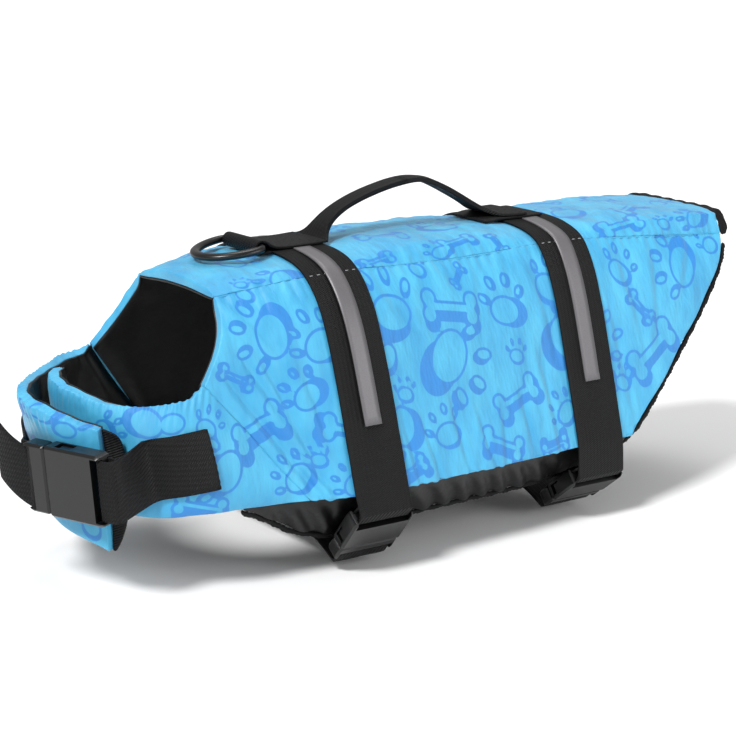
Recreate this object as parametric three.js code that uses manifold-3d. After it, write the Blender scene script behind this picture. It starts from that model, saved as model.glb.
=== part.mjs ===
import * as THREE from 'three';
import { mergeVertices } from 'three/addons/utils/BufferGeometryUtils.js';
import Module from 'manifold-3d';

const wasm = await Module();
wasm.setup();

// A dog life jacket, worn shape, in millimetres. The head end is at -X, the tail end at +X,
// the left side at -Y. The origin is under the back lining, midway between the belly straps.

// Driving dimensions
const seamGap = 0.3;
const liningThick = 1.2;
const webbing = { width: 38, thick: 1.6 };
const tape = { width: 12, thick: 0.8 };
const strapX = { front: -90, rear: 90 };
const neckX = -168;
const tailX = 233;
const hemZ = -126;
const shoulderFade = 15;
const backFoam = 9.5;
const sideFoam = 8.5;
const flapFoam = 9;
const seamThick = 1.6;
const rimThick = 3;

// How far from an edge each panel takes to fill out, and a lead that blunts the very edge
const fill = {
  back: { seam: 20, end: 14, endLead: 2 },
  side: { seam: 16, hem: 7, edge: 9, edgeLead: 1.5 },
  flap: { rim: 7, rimLead: 0.8, seam: 12 },
};
// Where, towards a hem, the panels' thickness turns level
const levelFrom = { side: 0.85, flap: 0.8 };

// Cross-sections of the body, one row a station. The crown of the back falls from the ridge
// to the seam, squarer where no strap presses it; the side swells out below the seam and splays.
const bodyStations = [
  { x: -192, seamY: 42.5, seamZ: -9, ridgeZ: -2, square: 3, soft: 0.8, swell: 15, splay: 0.28 },
  { x: -168, seamY: 44, seamZ: -7, ridgeZ: -0.5, square: 3, soft: 0.8, swell: 15, splay: 0.27 },
  { x: -150, seamY: 47, seamZ: -5, ridgeZ: 5.4, square: 3.2, soft: 0.8, swell: 15.4, splay: 0.25 },
  { x: -134, seamY: 49.5, seamZ: -3, ridgeZ: 6.3, square: 3.4, soft: 0.8, swell: 15.8, splay: 0.244 },
  { x: -109, seamY: 51.3, seamZ: -1, ridgeZ: 8.2, square: 3, soft: 0.9, swell: 16, splay: 0.295 },
  { x: -90, seamY: 51.7, seamZ: 0, ridgeZ: 8.4, square: 3, soft: 0.9, swell: 16, splay: 0.31 },
  { x: -71, seamY: 51.8, seamZ: 0, ridgeZ: 8.8, square: 3.3, soft: 0.85, swell: 15.6, splay: 0.305 },
  { x: -40, seamY: 52, seamZ: -1.2, ridgeZ: 11, square: 5, soft: 0.6, swell: 15.2, splay: 0.298 },
  { x: 0, seamY: 52.2, seamZ: -1.8, ridgeZ: 11, square: 5, soft: 0.6, swell: 14.2, splay: 0.292 },
  { x: 40, seamY: 52.2, seamZ: -1, ridgeZ: 11, square: 5, soft: 0.6, swell: 12.6, splay: 0.284 },
  { x: 71, seamY: 52, seamZ: 0, ridgeZ: 8.8, square: 3.3, soft: 0.85, swell: 10.8, splay: 0.272 },
  { x: 90, seamY: 52, seamZ: 0.3, ridgeZ: 8.6, square: 3, soft: 0.9, swell: 10.4, splay: 0.268 },
  { x: 109, seamY: 52, seamZ: -0.5, ridgeZ: 8.9, square: 3.3, soft: 0.85, swell: 10.4, splay: 0.268 },
  { x: 145, seamY: 52.4, seamZ: -2.8, ridgeZ: 10.2, square: 5, soft: 0.6, swell: 10.4, splay: 0.268 },
  { x: 190, seamY: 52.8, seamZ: -6.6, ridgeZ: 8.4, square: 6.5, soft: 0.42, swell: 10.4, splay: 0.268 },
  { x: 233, seamY: 53, seamZ: -10, ridgeZ: 5.7, square: 8, soft: 0.28, swell: 10.4, splay: 0.268 },
];

// Grid lines that the panels, linings, straps and tapes share
const crownSteps = [0, 0.2, 0.4, 0.6, 0.78, 0.9, 1];
const crownLine = [...crownSteps.slice(1).reverse().map((u) => -u), ...crownSteps];
const sideSteps = [0, 0.03, 0.08, 0.16, 0.26, 0.378, 0.527, 0.689, 0.851, 0.963, 1];
const bodyLines = [-109, -90, -71, -40, 0, 40, 71, 90, 109];
const neckSteps = [0, 0.12, 0.35, 0.65];
const tailSteps = [0.35, 0.65, 0.88, 1];
const scoopStep = 5;

// Front edge of a side panel: the neck scoop, then the slanting seam to the chest flap
const scoop = { reach: 23, power: 1.9 };
const flapSeam = { topX: -191, lowX: -134 };
const tailSlope = { run: 115, power: 1.2 };

// Chest flaps, one row a station from the slanting seam round the chest. The rim is the neck
// edge and the low edge the hem; puff bows the panel out between them.
const innerFlapRows = [
  { station: 0, rimX: -191, rimY: -72, rimZ: -52, lowX: -134, lowY: -95, lowZ: -126, puff: 0 },
  { station: 1, rimX: -201, rimY: -73, rimZ: -58, lowX: -166, lowY: -88, lowZ: -126, puff: 5 },
  { station: 2, rimX: -214, rimY: -66, rimZ: -61, lowX: -191, lowY: -86, lowZ: -126, puff: 6 },
  { station: 3, rimX: -228, rimY: -54, rimZ: -63, lowX: -212, lowY: -78, lowZ: -127, puff: 5 },
  { station: 4, rimX: -241, rimY: -37, rimZ: -63, lowX: -227, lowY: -65, lowZ: -128, puff: 1 },
  { station: 5, rimX: -249, rimY: -20, rimZ: -60, lowX: -237, lowY: -42, lowZ: -129, puff: 0 },
  { station: 6, rimX: -253, rimY: 0, rimZ: -57, lowX: -243, lowY: -14, lowZ: -130, puff: 0 },
  { station: 7, rimX: -247, rimY: 20, rimZ: -56, lowX: -241, lowY: 15, lowZ: -130, puff: 0 },
  { station: 8, rimX: -235, rimY: 37, rimZ: -57, lowX: -229, lowY: 37, lowZ: -127, puff: 0 },
];
const outerFlapRows = [
  { station: 0, rimX: -191, rimY: 72, rimZ: -52, lowX: -134, lowY: 95, lowZ: -126, puff: 0 },
  { station: 1, rimX: -202, rimY: 74, rimZ: -56, lowX: -166, lowY: 90, lowZ: -126, puff: 5 },
  { station: 2, rimX: -219, rimY: 66, rimZ: -58, lowX: -195, lowY: 88, lowZ: -126, puff: 5 },
  { station: 3, rimX: -238, rimY: 53, rimZ: -60, lowX: -220, lowY: 77, lowZ: -128, puff: 2 },
  { station: 4, rimX: -254, rimY: 38, rimZ: -61, lowX: -240, lowY: 58, lowZ: -131, puff: -1 },
  { station: 5, rimX: -268, rimY: 20, rimZ: -62, lowX: -252, lowY: 34, lowZ: -133, puff: -3 },
  { station: 6, rimX: -276, rimY: 0, rimZ: -64, lowX: -258, lowY: 8, lowZ: -135, puff: -5 },
  { station: 7, rimX: -273, rimY: -18, rimZ: -67, lowX: -259, lowY: -14, lowZ: -139, puff: -5 },
  { station: 8, rimX: -265, rimY: -35, rimZ: -71, lowX: -256, lowY: -34, lowZ: -143, puff: -3 },
  { station: 9, rimX: -252, rimY: -50, rimZ: -75, lowX: -248, lowY: -51, lowZ: -148, puff: -1 },
];
const flapSteps = [0, 0.06, 0.24, 0.5, 0.76, 0.94, 1];
const flapHeight = 72;
const stationLong = 21;
const flapColumns = { count: 20, first: 0.35, beforeLast: 0.2, last: 0.06 };
const seamBlend = 1.6;
const flapCentre = new THREE.Vector3(-150, 0, -92);
const rimGather = 0.9;

// Hook strip beyond the outer flap's end: how far it stands out, from its rim down
const fastenerStrip = { reaches: [10, 12, 13, 13, 10, 5, 2.4], thick: 1.8 };

// Belly flaps under the hems: how far each reaches in and down along the body
const bellyRows = [
  { x: -172, drop: 1.5 },
  { x: -160, drop: 8 },
  { x: -149, drop: 15 },
  { x: -132, drop: 28 },
  { x: -109, drop: 36 },
  { x: -90, drop: 35 },
  { x: -71, drop: 32 },
  { x: -40, drop: 28.5 },
  { x: 0, drop: 28.5 },
  { x: 40, drop: 29 },
  { x: 71, drop: 26.5 },
  { x: 90, drop: 22 },
  { x: 109, drop: 13 },
  { x: 118, drop: 5 },
];
const bellySteps = [0, 0.35, 0.7, 1];
const bellySlope = {
  left: { inward: 0.6, down: 0.8 },
  right: { inward: 0.87, down: 0.493 },
};
const bellyFlap = { inset: 6, lower: 0.5, thick: 2, bow: 1.5, deepest: 36 };
const hemFront = { half: 95, endHalf: 87.5, endX: -172 };

// Gathered elastic on the edges
const elastic = { width: 4, thick: 3, step: 6, ruffle: 0.6, clearance: 0.8 };
const tailElastic = { width: 8, thick: 3.4, step: 6, ruffle: 0.8, clearance: 0.6 };

// Side-release buckle, in its own frame: X runs from the socket's bar to the plug's end,
// Y across the webbing and Z out of the face. It comes apart along X.
const buckle = {
  width: 44,
  thick: 12,
  slotHalf: 19.6,
  barEnd: -8,
  bar: 3.2,
  barHigh: 4.4,
  slot: 3.8,
  corner: 4,
  mouthCorner: 2,
  bevel: 1.4,
  mouthGap: 0.4,
  cavity: { before: 3, half: 18.6, high: 7 },
  windowHigh: 7,
  prong: { after: 1, inner: 12.5, outer: 17.6, high: 6 },
  button: { short: 1.4, reach: 20.8 },
  guide: { after: 5, half: 3.5, high: 5 },
};
// The two lengths of buckle: mouth of the socket, end of the plug, and the side windows
const bellyLength = { mouth: 18.6, plugEnd: 31.2, windowFrom: 6.4, windowTo: 14.4 };
const chestLength = { mouth: 35, plugEnd: 53, windowFrom: 16, windowTo: 28 };
const bellyBuckles = {
  front: { y: -106, z: -137.3, inward: 0.64, down: 0.768 },
  rear: { y: -94, z: -145.5, inward: 0.8, down: 0.6 },
};

// Where each belly strap passes under the belly, from the right hem to the plug
const underBelly = {
  front: [
    { y: 103, z: -131 },
    { y: 95, z: -141 },
    { y: 62, z: -151.5 },
    { y: 20, z: -155.5 },
    { y: -20, z: -157 },
    { y: -60, z: -159 },
  ],
  rear: [
    { y: 99, z: -131 },
    { y: 91, z: -138.5 },
    { y: 70, z: -146 },
    { y: 30, z: -154.5 },
    { y: -10, z: -159.5 },
    { y: -40, z: -163 },
  ],
};

// Chest buckle: place of its middle, the way it runs and the way its width leans
const chestBuckle = { x: -264.9, y: -38.6, z: -105.5, runX: -0.33, runY: 0.944, leanX: -0.12 };

// Where the chest straps lie on the flaps: high and low are the edges down the flap
const leftStrapRows = [
  { station: 1.42, lean: 0.28, high: 0.25, low: 0.77 },
  { station: 1.8, lean: 0.28, high: 0.25, low: 0.78 },
  { station: 2.3, lean: 0.26, high: 0.26, low: 0.79 },
  { station: 2.8, lean: 0.22, high: 0.27, low: 0.8 },
  { station: 3.3, lean: 0.2, high: 0.28, low: 0.82 },
];
const rightStrapRows = [
  { station: 2.7, lean: 0.25, high: 0.3, low: 0.8 },
  { station: 3.3, lean: 0.25, high: 0.31, low: 0.81 },
  { station: 3.9, lean: 0.25, high: 0.32, low: 0.83 },
  { station: 4.5, lean: 0.25, high: 0.34, low: 0.85 },
  { station: 5.1, lean: 0.22, high: 0.35, low: 0.86 },
  { station: 5.7, lean: 0.18, high: 0.36, low: 0.87 },
];

// Leash ring, lying forward on the back, and its webbing tab
const ring = { barX: -118, barHalf: 23, reach: 33, corner: 5, rod: 2.6, broad: 1.4, broadBy: 9, tilt: 7.6 };
const tabEndX = -69.8;
const patch = { startX: 55, endX: 103, rampFrom: 60, rampTo: 67 };

// Side view of the grab handle, one row a station: half its width, its thickness where the
// webbing is folded double, and cup, how far its edges hang
const handleRows = [
  { x: -68.6, z: 11.2, half: 18, thick: 1.6, cup: 0 },
  { x: -66.2, z: 13.4, half: 15, thick: 2, cup: 1 },
  { x: -64.2, z: 16.5, half: 11, thick: 2.6, cup: 1.4 },
  { x: -60.5, z: 20.6, half: 8.5, thick: 3, cup: 1 },
  { x: -54, z: 25.5, half: 7.2, thick: 3.2, cup: 0.6 },
  { x: -45, z: 30.4, half: 7, thick: 3.2, cup: 0.6 },
  { x: -30, z: 35.6, half: 7, thick: 3.2, cup: 0.5 },
  { x: -12, z: 40, half: 7.2, thick: 3.2, cup: 0.5 },
  { x: 7, z: 42.6, half: 7.4, thick: 3.2, cup: 0.5 },
  { x: 18, z: 41.2, half: 6.6, thick: 3.4, cup: 0.8 },
  { x: 30, z: 36, half: 6.6, thick: 3.4, cup: 0.8 },
  { x: 42, z: 29.2, half: 6.8, thick: 3.4, cup: 0.6 },
  { x: 53, z: 22.6, half: 7.4, thick: 3.2, cup: 0.4 },
  { x: 61, z: 17.6, half: 10, thick: 2.8, cup: 0.3 },
  { x: 66, z: 15, half: 14, thick: 2.2, cup: 0.1 },
];

// Colours and finishes
const finishes = {
  print: { color: 0x5fc3eb, roughness: 0.55, metalness: 0 },
  lining: { color: 0x141414, roughness: 0.8, metalness: 0 },
  elastic: { color: 0x121212, roughness: 0.85, metalness: 0 },
  webbing: { color: 0x181818, roughness: 0.75, metalness: 0 },
  tape: { color: 0x8a898c, roughness: 0.35, metalness: 0.1 },
  plastic: { color: 0x2c2a2a, roughness: 0.4, metalness: 0 },
};

const jacket = new THREE.Group();

function mix(a, b, t) {
  return a + (b - a) * t;
}

function rounded(distance, radius) {
  const t = Math.min(Math.max(distance / radius, 0), 1);
  return Math.sqrt(1 - (1 - t) * (1 - t));
}

function eased(t) {
  const s = Math.min(Math.max(t, 0), 1);
  return s * s * (3 - 2 * s);
}

// A smooth curve through one column of a table, read at a value of its key column
function read(rows, key, column, at) {
  const last = rows.length - 1;
  if (at <= rows[0][key]) return rows[0][column];
  if (at >= rows[last][key]) return rows[last][column];
  const i = rows.findIndex((row) => row[key] > at) - 1;
  const slope = (k) => {
    const before = rows[Math.max(k - 1, 0)];
    const after = rows[Math.min(k + 1, last)];
    return (after[column] - before[column]) / (after[key] - before[key]);
  };
  const span = rows[i + 1][key] - rows[i][key];
  const t = (at - rows[i][key]) / span;
  const rise = t * t * (3 - 2 * t);
  return (
    mix(rows[i][column], rows[i + 1][column], rise)
    + slope(i) * span * t * (1 - t) * (1 - t)
    - slope(i + 1) * span * t * t * (1 - t)
  );
}

// Makes a closed mesh from points and triangles, with its faces turned outwards
function addSolid(name, points, triangles, finish) {
  let volume = 0;
  for (const [a, b, c] of triangles) {
    volume += points[a].dot(new THREE.Vector3().crossVectors(points[b], points[c]));
  }
  const index = triangles.flatMap(([a, b, c]) => (volume > 0 ? [a, b, c] : [a, c, b]));
  const geometry = new THREE.BufferGeometry().setFromPoints(points);
  geometry.setIndex(index);
  return addMesh(name, geometry, finish);
}

function addMesh(name, geometry, finish) {
  geometry.computeVertexNormals();
  const mesh = new THREE.Mesh(geometry, new THREE.MeshStandardMaterial(finishes[finish]));
  mesh.name = name;
  jacket.add(mesh);
  return mesh;
}

// A cloth wall between two grids of points, outer and inner
function addWall(name, outer, inner, finish) {
  const rows = outer.length;
  const columns = outer[0].length;
  const points = [...outer.flat(), ...inner.flat()];
  const shift = rows * columns;
  const at = (i, j) => i * columns + j;
  const triangles = [];
  const quad = (a, b, c, d) => triangles.push([a, b, c], [a, c, d]);
  for (let i = 0; i < rows - 1; i += 1) {
    for (let j = 0; j < columns - 1; j += 1) {
      quad(at(i, j), at(i + 1, j), at(i + 1, j + 1), at(i, j + 1));
      triangles.push([shift + at(i, j), shift + at(i + 1, j + 1), shift + at(i + 1, j)]);
      triangles.push([shift + at(i, j), shift + at(i, j + 1), shift + at(i + 1, j + 1)]);
    }
  }
  for (let i = 0; i < rows - 1; i += 1) {
    quad(at(i, 0), shift + at(i, 0), shift + at(i + 1, 0), at(i + 1, 0));
    const j = columns - 1;
    quad(at(i, j), at(i + 1, j), shift + at(i + 1, j), shift + at(i, j));
  }
  for (let j = 0; j < columns - 1; j += 1) {
    quad(at(0, j), at(0, j + 1), shift + at(0, j + 1), shift + at(0, j));
    const i = rows - 1;
    quad(at(i, j), shift + at(i, j), shift + at(i, j + 1), at(i, j + 1));
  }
  return addSolid(name, points, triangles, finish);
}

// A band swept through a list of rings of equal size; a closed band joins its ends
function addBand(name, rings, finish, closed = false) {
  const size = rings[0].length;
  const points = rings.flat();
  const triangles = [];
  const last = closed ? rings.length : rings.length - 1;
  for (let i = 0; i < last; i += 1) {
    const next = (i + 1) % rings.length;
    for (let j = 0; j < size; j += 1) {
      const k = (j + 1) % size;
      triangles.push([i * size + j, next * size + j, next * size + k]);
      triangles.push([i * size + j, next * size + k, i * size + k]);
    }
  }
  if (!closed) {
    const end = (rings.length - 1) * size;
    for (let j = 1; j < size - 1; j += 1) {
      triangles.push([0, j, j + 1]);
      triangles.push([end, end + j + 1, end + j]);
    }
  }
  return addSolid(name, points, triangles, finish);
}

function asIs(grid) {
  return grid;
}

function mirrored(grid) {
  return grid.map((row) => row.map((point) => new THREE.Vector3(point.x, -point.y, point.z)));
}

function body(column, x) {
  return read(bodyStations, 'x', column, x);
}

// Slope of the side's swell, sideways for each millimetre down
function sideLean(x, depth) {
  return (body('swell', x) / shoulderFade) * Math.exp(-depth / shoulderFade) + body('splay', x);
}

// Left half of the outer skin: across runs 0 to 1 over the crown and 1 to 2 down the side
function skin(x, across) {
  const seamY = body('seamY', x);
  const seamZ = body('seamZ', x);
  if (across <= 1) {
    const crown = (1 - across ** body('square', x)) ** body('soft', x);
    const z = mix(seamZ, body('ridgeZ', x), crown);
    const turn = Math.atan2(1, sideLean(x, 0)) * across ** 2;
    return {
      point: new THREE.Vector3(x, -seamY * across, z),
      inward: new THREE.Vector3(0, Math.sin(turn), -Math.cos(turn)),
    };
  }
  const z = mix(seamZ, hemZ, across - 1);
  const depth = seamZ - z;
  const out = body('swell', x) * (1 - Math.exp(-depth / shoulderFade)) + body('splay', x) * depth;
  const level = eased((across - 1 - levelFrom.side) / (1 - levelFrom.side));
  return {
    point: new THREE.Vector3(x, -(seamY + out), z),
    inward: new THREE.Vector3(0, 1, -sideLean(x, depth) * (1 - level)).normalize(),
  };
}

// Points of a grid moved inwards by a depth that may vary
function movedIn(cells, depth) {
  return cells.map((row) => row.map((cell) => cell.point.clone().addScaledVector(cell.inward, depth(cell))));
}

// A panel and the lining behind it
function addPanelPair(panelName, liningName, cells, turn) {
  const outer = turn(movedIn(cells, () => 0));
  const inner = turn(movedIn(cells, (cell) => cell.thick));
  addWall(panelName, outer, inner, 'print');
  const face = turn(movedIn(cells, (cell) => cell.thick + seamGap));
  const back = turn(movedIn(cells, (cell) => cell.thick + seamGap + liningThick));
  addWall(liningName, face, back, 'lining');
}

function bodyX(frontX, rearX) {
  return [
    ...neckSteps.map((t) => mix(frontX, bodyLines[0], t)),
    ...bodyLines,
    ...tailSteps.map((t) => mix(bodyLines.at(-1), rearX, t)),
  ];
}

// Back panel, right across from seam to seam
function makeBack() {
  const cells = bodyX(neckX, tailX).map((x) => crownLine.map((u) => {
    const across = Math.abs(u);
    const { point, inward } = skin(x, across);
    point.y *= -Math.sign(u);
    inward.y *= -Math.sign(u);
    if (across === 1) point.y -= Math.sign(point.y) * seamGap / 2;
    const fromSeam = (1 - across) * body('seamY', x);
    const fromEnd = Math.min(x - neckX, tailX - x);
    const thick = mix(seamThick, backFoam, rounded(fromSeam, fill.back.seam));
    const ended = rounded(fromEnd + fill.back.endLead, fill.back.end);
    return { point, inward, thick: mix(rimThick / 2, thick, ended) };
  }));
  addPanelPair('back_panel', 'back_lining', cells, asIs);
}

function sideFront(step) {
  const scoopEnd = sideSteps[scoopStep];
  if (step <= scoopEnd) return neckX - scoop.reach * (step / scoopEnd) ** scoop.power;
  return mix(flapSeam.topX, flapSeam.lowX, (step - scoopEnd) / (1 - scoopEnd));
}

function sideRear(step) {
  return tailX - tailSlope.run * step ** tailSlope.power;
}

function sideCells() {
  const lines = sideSteps.map((step) => bodyX(sideFront(step), sideRear(step)));
  return lines[0].map((_, i) => sideSteps.map((step, j) => {
    const x = lines[j][i];
    const { point, inward } = skin(x, 1 + step);
    if (j === 0) point.add(new THREE.Vector3(0, -seamGap / 2, -seamGap / 2));
    const span = body('seamZ', x) - hemZ;
    const fromFront = x - sideFront(step);
    const fromEdge = Math.min(fromFront, sideRear(step) - x) + fill.side.edgeLead;
    const puffed = mix(seamThick, sideFoam, rounded(step * span, fill.side.seam));
    const hemmed = mix(rimThick, puffed, rounded((1 - step) * span, fill.side.hem));
    const edged = mix(rimThick, sideFoam, rounded(fromEdge, fill.side.edge));
    return { point, inward, thick: Math.min(hemmed, edged) };
  }));
}

// A chest flap: bare surface from its table, between the rim (0) and the low edge (1)
function flapBase(rows, station, step) {
  const at = (column) => read(rows, 'station', column, station);
  const rim = new THREE.Vector3(at('rimX'), at('rimY'), at('rimZ'));
  const low = new THREE.Vector3(at('lowX'), at('lowY'), at('lowZ'));
  const middle = rim.clone().lerp(low, step);
  const outward = middle.clone().sub(flapCentre).setZ(0).normalize();
  return middle.addScaledVector(outward, at('puff') * 4 * step * (1 - step));
}

function flapStations(lastStation) {
  const { count, first, beforeLast, last } = flapColumns;
  const run = lastStation - beforeLast - first;
  const even = Array.from({ length: count - 1 }, (_, i) => first + (i / (count - 2)) * run);
  return [0, ...even, lastStation - last, lastStation];
}

// Place on the slanting seam of a side panel; side is -1 left and 1 right
function seamPlace(side, step) {
  const across = mix(sideSteps[scoopStep], 1, step);
  const { point, inward } = skin(sideFront(across), 1 + across);
  point.y *= -side;
  inward.y *= -side;
  return { point, inward };
}

// Bare flap surface that starts from the side panel's own slanting edge
function flapSurface(rows, side, station, step) {
  const slip = seamPlace(side, step).point.sub(flapBase(rows, 0, step));
  return flapBase(rows, station, step).addScaledVector(slip, 1 - eased(station / seamBlend));
}

// A place on a flap with its inward direction
function flapPlace(rows, side, station, step) {
  const reach = 0.05;
  const lastStation = rows.at(-1).station;
  const at = (s, t) => flapSurface(rows, side, s, t);
  const along = at(Math.min(station + reach, lastStation), step).sub(at(Math.max(station - reach, 0), step));
  const down = at(station, Math.min(step + reach, 1)).sub(at(station, Math.max(step - reach, 0)));
  const point = at(station, step);
  const inward = along.cross(down).normalize();
  if (inward.dot(flapCentre.clone().sub(point)) < 0) inward.negate();
  inward.z *= 1 - eased((step - levelFrom.flap) / (1 - levelFrom.flap));
  return { point, inward: inward.normalize() };
}

function flapCells(rows, side) {
  const lastStation = rows.at(-1).station;
  const stations = flapStations(lastStation);
  return stations.map((station, i) => flapSteps.map((step, j) => {
    const { point, inward } = flapPlace(rows, side, station, step);
    if (i === 0) inward.copy(seamPlace(side, step).inward);
    const fromRim = Math.min(step, 1 - step) * flapHeight;
    const fromEnd = (lastStation - station) * stationLong;
    const fullness = rounded(Math.min(fromRim, fromEnd) + fill.flap.rimLead, fill.flap.rim);
    const fromSeam = rounded(station * stationLong, fill.flap.seam);
    const rimmed = mix(rimThick, flapFoam, fullness);
    point.addScaledVector(inward, ((flapFoam - rimmed) / 2) * fromSeam);
    const isGathered = j < 2 && i > 2 && i < stations.length - 2;
    if (isGathered) point.addScaledVector(inward, (i % 2 ? 1 : -1) * rimGather);
    if (i === 0) point.x -= seamGap;
    return { point, inward, thick: mix(seamThick, rimmed, fromSeam) };
  }));
}

function makeFlaps() {
  const inner = flapCells(innerFlapRows, -1);
  const outer = flapCells(outerFlapRows, 1);
  addPanelPair('chest_flap_left', 'chest_lining_left', inner, asIs);
  addPanelPair('chest_flap_right', 'chest_lining_right', outer, asIs);
  makeFastener(outer);
}

function hemHalf(x) {
  if (x >= flapSeam.lowX) return -skin(x, 2).point.y;
  return mix(hemFront.half, hemFront.endHalf, (flapSeam.lowX - x) / (flapSeam.lowX - hemFront.endX));
}

// Belly flap on the left, a thin double layer below the hem that slopes in under the belly
function bellyCells(slope) {
  const inwards = new THREE.Vector3(0, slope.down, slope.inward);
  return bellyRows.map(({ x, drop }) => bellySteps.map((step) => {
    const reach = drop * step;
    const point = new THREE.Vector3(
      x,
      -(hemHalf(x) - bellyFlap.inset) + slope.inward * reach,
      hemZ - bellyFlap.lower - slope.inward * bellyFlap.thick - slope.down * reach,
    );
    point.addScaledVector(inwards, -bellyFlap.bow * Math.sin(Math.PI * step) * (drop / bellyFlap.deepest));
    return { point, inward: inwards.clone() };
  }));
}

// Evenly spaced stops along a run of points, each with the cloth's outward normal
function evenStops(points, normals, step) {
  const lengths = points.slice(1).map((point, i) => point.distanceTo(points[i]));
  const total = lengths.reduce((sum, length) => sum + length, 0);
  const count = Math.round(total / step);
  return Array.from({ length: count + 1 }, (_, k) => {
    let rest = (total * k) / count;
    let i = 0;
    while (i < lengths.length - 1 && rest > lengths[i]) {
      rest -= lengths[i];
      i += 1;
    }
    const t = Math.min(rest / lengths[i], 1);
    return {
      point: points[i].clone().lerp(points[i + 1], t),
      normal: normals[i].clone().lerp(normals[i + 1], t).normalize(),
      along: points[i + 1].clone().sub(points[i]).normalize(),
    };
  });
}

// Gathered elastic along a cloth edge, ruffled stop by stop
function elasticRings(points, normals, size) {
  return evenStops(points, normals, size.step).map((stop, k, stops) => {
    const before = stops[Math.max(k - 1, 0)].along;
    const along = stop.along.clone().add(before).normalize();
    const away = along.clone().cross(stop.normal).normalize();
    const wave = k % 2 ? 1 : -1;
    const shift = stop.point.clone().addScaledVector(stop.normal, wave * size.ruffle);
    const near = size.clearance;
    const far = size.clearance + size.width + wave * size.ruffle;
    return [
      [near, -0.5],
      [far, -0.35],
      [far, 0.35],
      [near, 0.5],
    ].map(([reach, lift]) => shift.clone()
      .addScaledVector(away, reach)
      .addScaledVector(stop.normal, lift * size.thick));
  });
}

// One belly flap with the gathered elastic that edges it and the tail edge of the side panel
function makeBellyFlap(sideName, slope, panel, turn) {
  const cells = bellyCells(slope);
  const outer = movedIn(cells, () => 0);
  const inner = movedIn(cells, () => bellyFlap.thick);
  addWall(`belly_flap_${sideName}`, turn(outer), turn(inner), 'lining');
  const edge = [
    ...cells.map((row) => ({ ...row.at(-1), thick: bellyFlap.thick })),
    ...panel.at(-1).slice(1, -1).reverse(),
  ];
  const points = edge.map(({ point, inward, thick }) => point.clone().addScaledVector(inward, thick / 2));
  const normals = edge.map(({ inward }) => inward.clone().negate());
  addBand(`edge_binding_${sideName}`, turn(elasticRings(points, normals, elastic)), 'elastic');
}

function makeTailBinding() {
  const points = crownLine.map((u) => {
    const { point, inward } = skin(tailX, Math.abs(u));
    point.y *= -Math.sign(u);
    inward.y *= -Math.sign(u);
    return point.addScaledVector(inward, rimThick / 2);
  });
  const normals = points.map(() => new THREE.Vector3(0, 0, 1));
  addBand('tail_binding', elasticRings(points, normals, tailElastic), 'elastic');
}

// Straps

const foldRoom = seamGap + webbing.thick / 2 + 0.1;

// Fold of webbing round a buckle's bar, as steps along the buckle and out of its face; way is
// 1 round the socket's bar and -1 round the plug's, first is the face it comes in on
function barFold(long, way, first) {
  const turn = buckle.barHigh / 2 + foldRoom;
  const barMiddle = way > 0 ? buckle.barEnd + buckle.bar / 2 : long.plugEnd - buckle.bar / 2;
  const depth = buckle.bar / 2 + foldRoom;
  return [
    { run: barMiddle, rise: turn },
    { run: barMiddle + way * depth * 0.6, rise: turn },
    { run: barMiddle + way * depth, rise: turn * 0.55 },
    { run: barMiddle + way * depth, rise: -turn * 0.55 },
    { run: barMiddle + way * depth * 0.6, rise: -turn },
    { run: barMiddle, rise: -turn },
  ].map(({ run, rise }) => ({ run, rise: rise * first }));
}

// Path of a belly strap in the plane of one of its threads: up the left side from its buckle,
// over the back, down the right side, under the belly and back to the buckle's plug.
function bellyPath(x, place, under) {
  const lift = seamGap + webbing.thick / 2;
  const half = crossingPoints(x, lift);
  const along = new THREE.Vector2(place.inward, -place.down);
  const out = new THREE.Vector2(-place.down, -place.inward);
  const local = ({ run, rise }) => new THREE.Vector2(place.y, place.z)
    .addScaledVector(along, run - buckle.barEnd)
    .addScaledVector(out, rise);
  const socketLoop = [
    { run: buckle.barEnd - 5, rise: -2.6 },
    ...barFold(bellyLength, 1, -1),
    { run: buckle.barEnd - 3, rise: 3.4 },
  ].map(local);
  const plugLoop = [
    { run: bellyLength.plugEnd + 4, rise: 3.4 },
    ...barFold(bellyLength, -1, 1),
    { run: bellyLength.plugEnd + 1.6, rise: -2.8 },
  ].map(local);
  const top = half.concat(half.slice(0, -1).reverse().map((p) => new THREE.Vector2(-p.x, p.y)));
  return [...socketLoop, ...top, ...under.map(({ y, z }) => new THREE.Vector2(y, z)), ...plugLoop];
}

// Left half of a section, hem to ridge, lifted off the skin
function crossingPoints(x, lift) {
  const across = [
    ...sideSteps.slice().reverse().map((step) => 1 + step),
    ...crownSteps.slice(0, -1).reverse(),
  ];
  return across.map((value) => {
    const { point, inward } = skin(x, value);
    point.addScaledVector(inward, -lift);
    return new THREE.Vector2(point.y, point.z);
  });
}

// Sideways directions of a flat path, square to it at each stop
function squareTo(path) {
  return path.map((point, i) => {
    const before = path[Math.max(i - 1, 0)];
    const after = path[Math.min(i + 1, path.length - 1)];
    const inLeg = point.clone().sub(before).normalize();
    const outLeg = after.clone().sub(point).normalize();
    const along = inLeg.add(outLeg).normalize();
    return new THREE.Vector2(-along.y, along.x);
  });
}

function bandOf(lines, thick) {
  const offset = (sign) => lines[0].path.map((_, i) => lines.map((line) => {
    const flat = line.path[i].clone().addScaledVector(line.square[i], (sign * thick) / 2);
    return line.place(flat);
  }));
  return { outer: offset(1), inner: offset(-1) };
}

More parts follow.
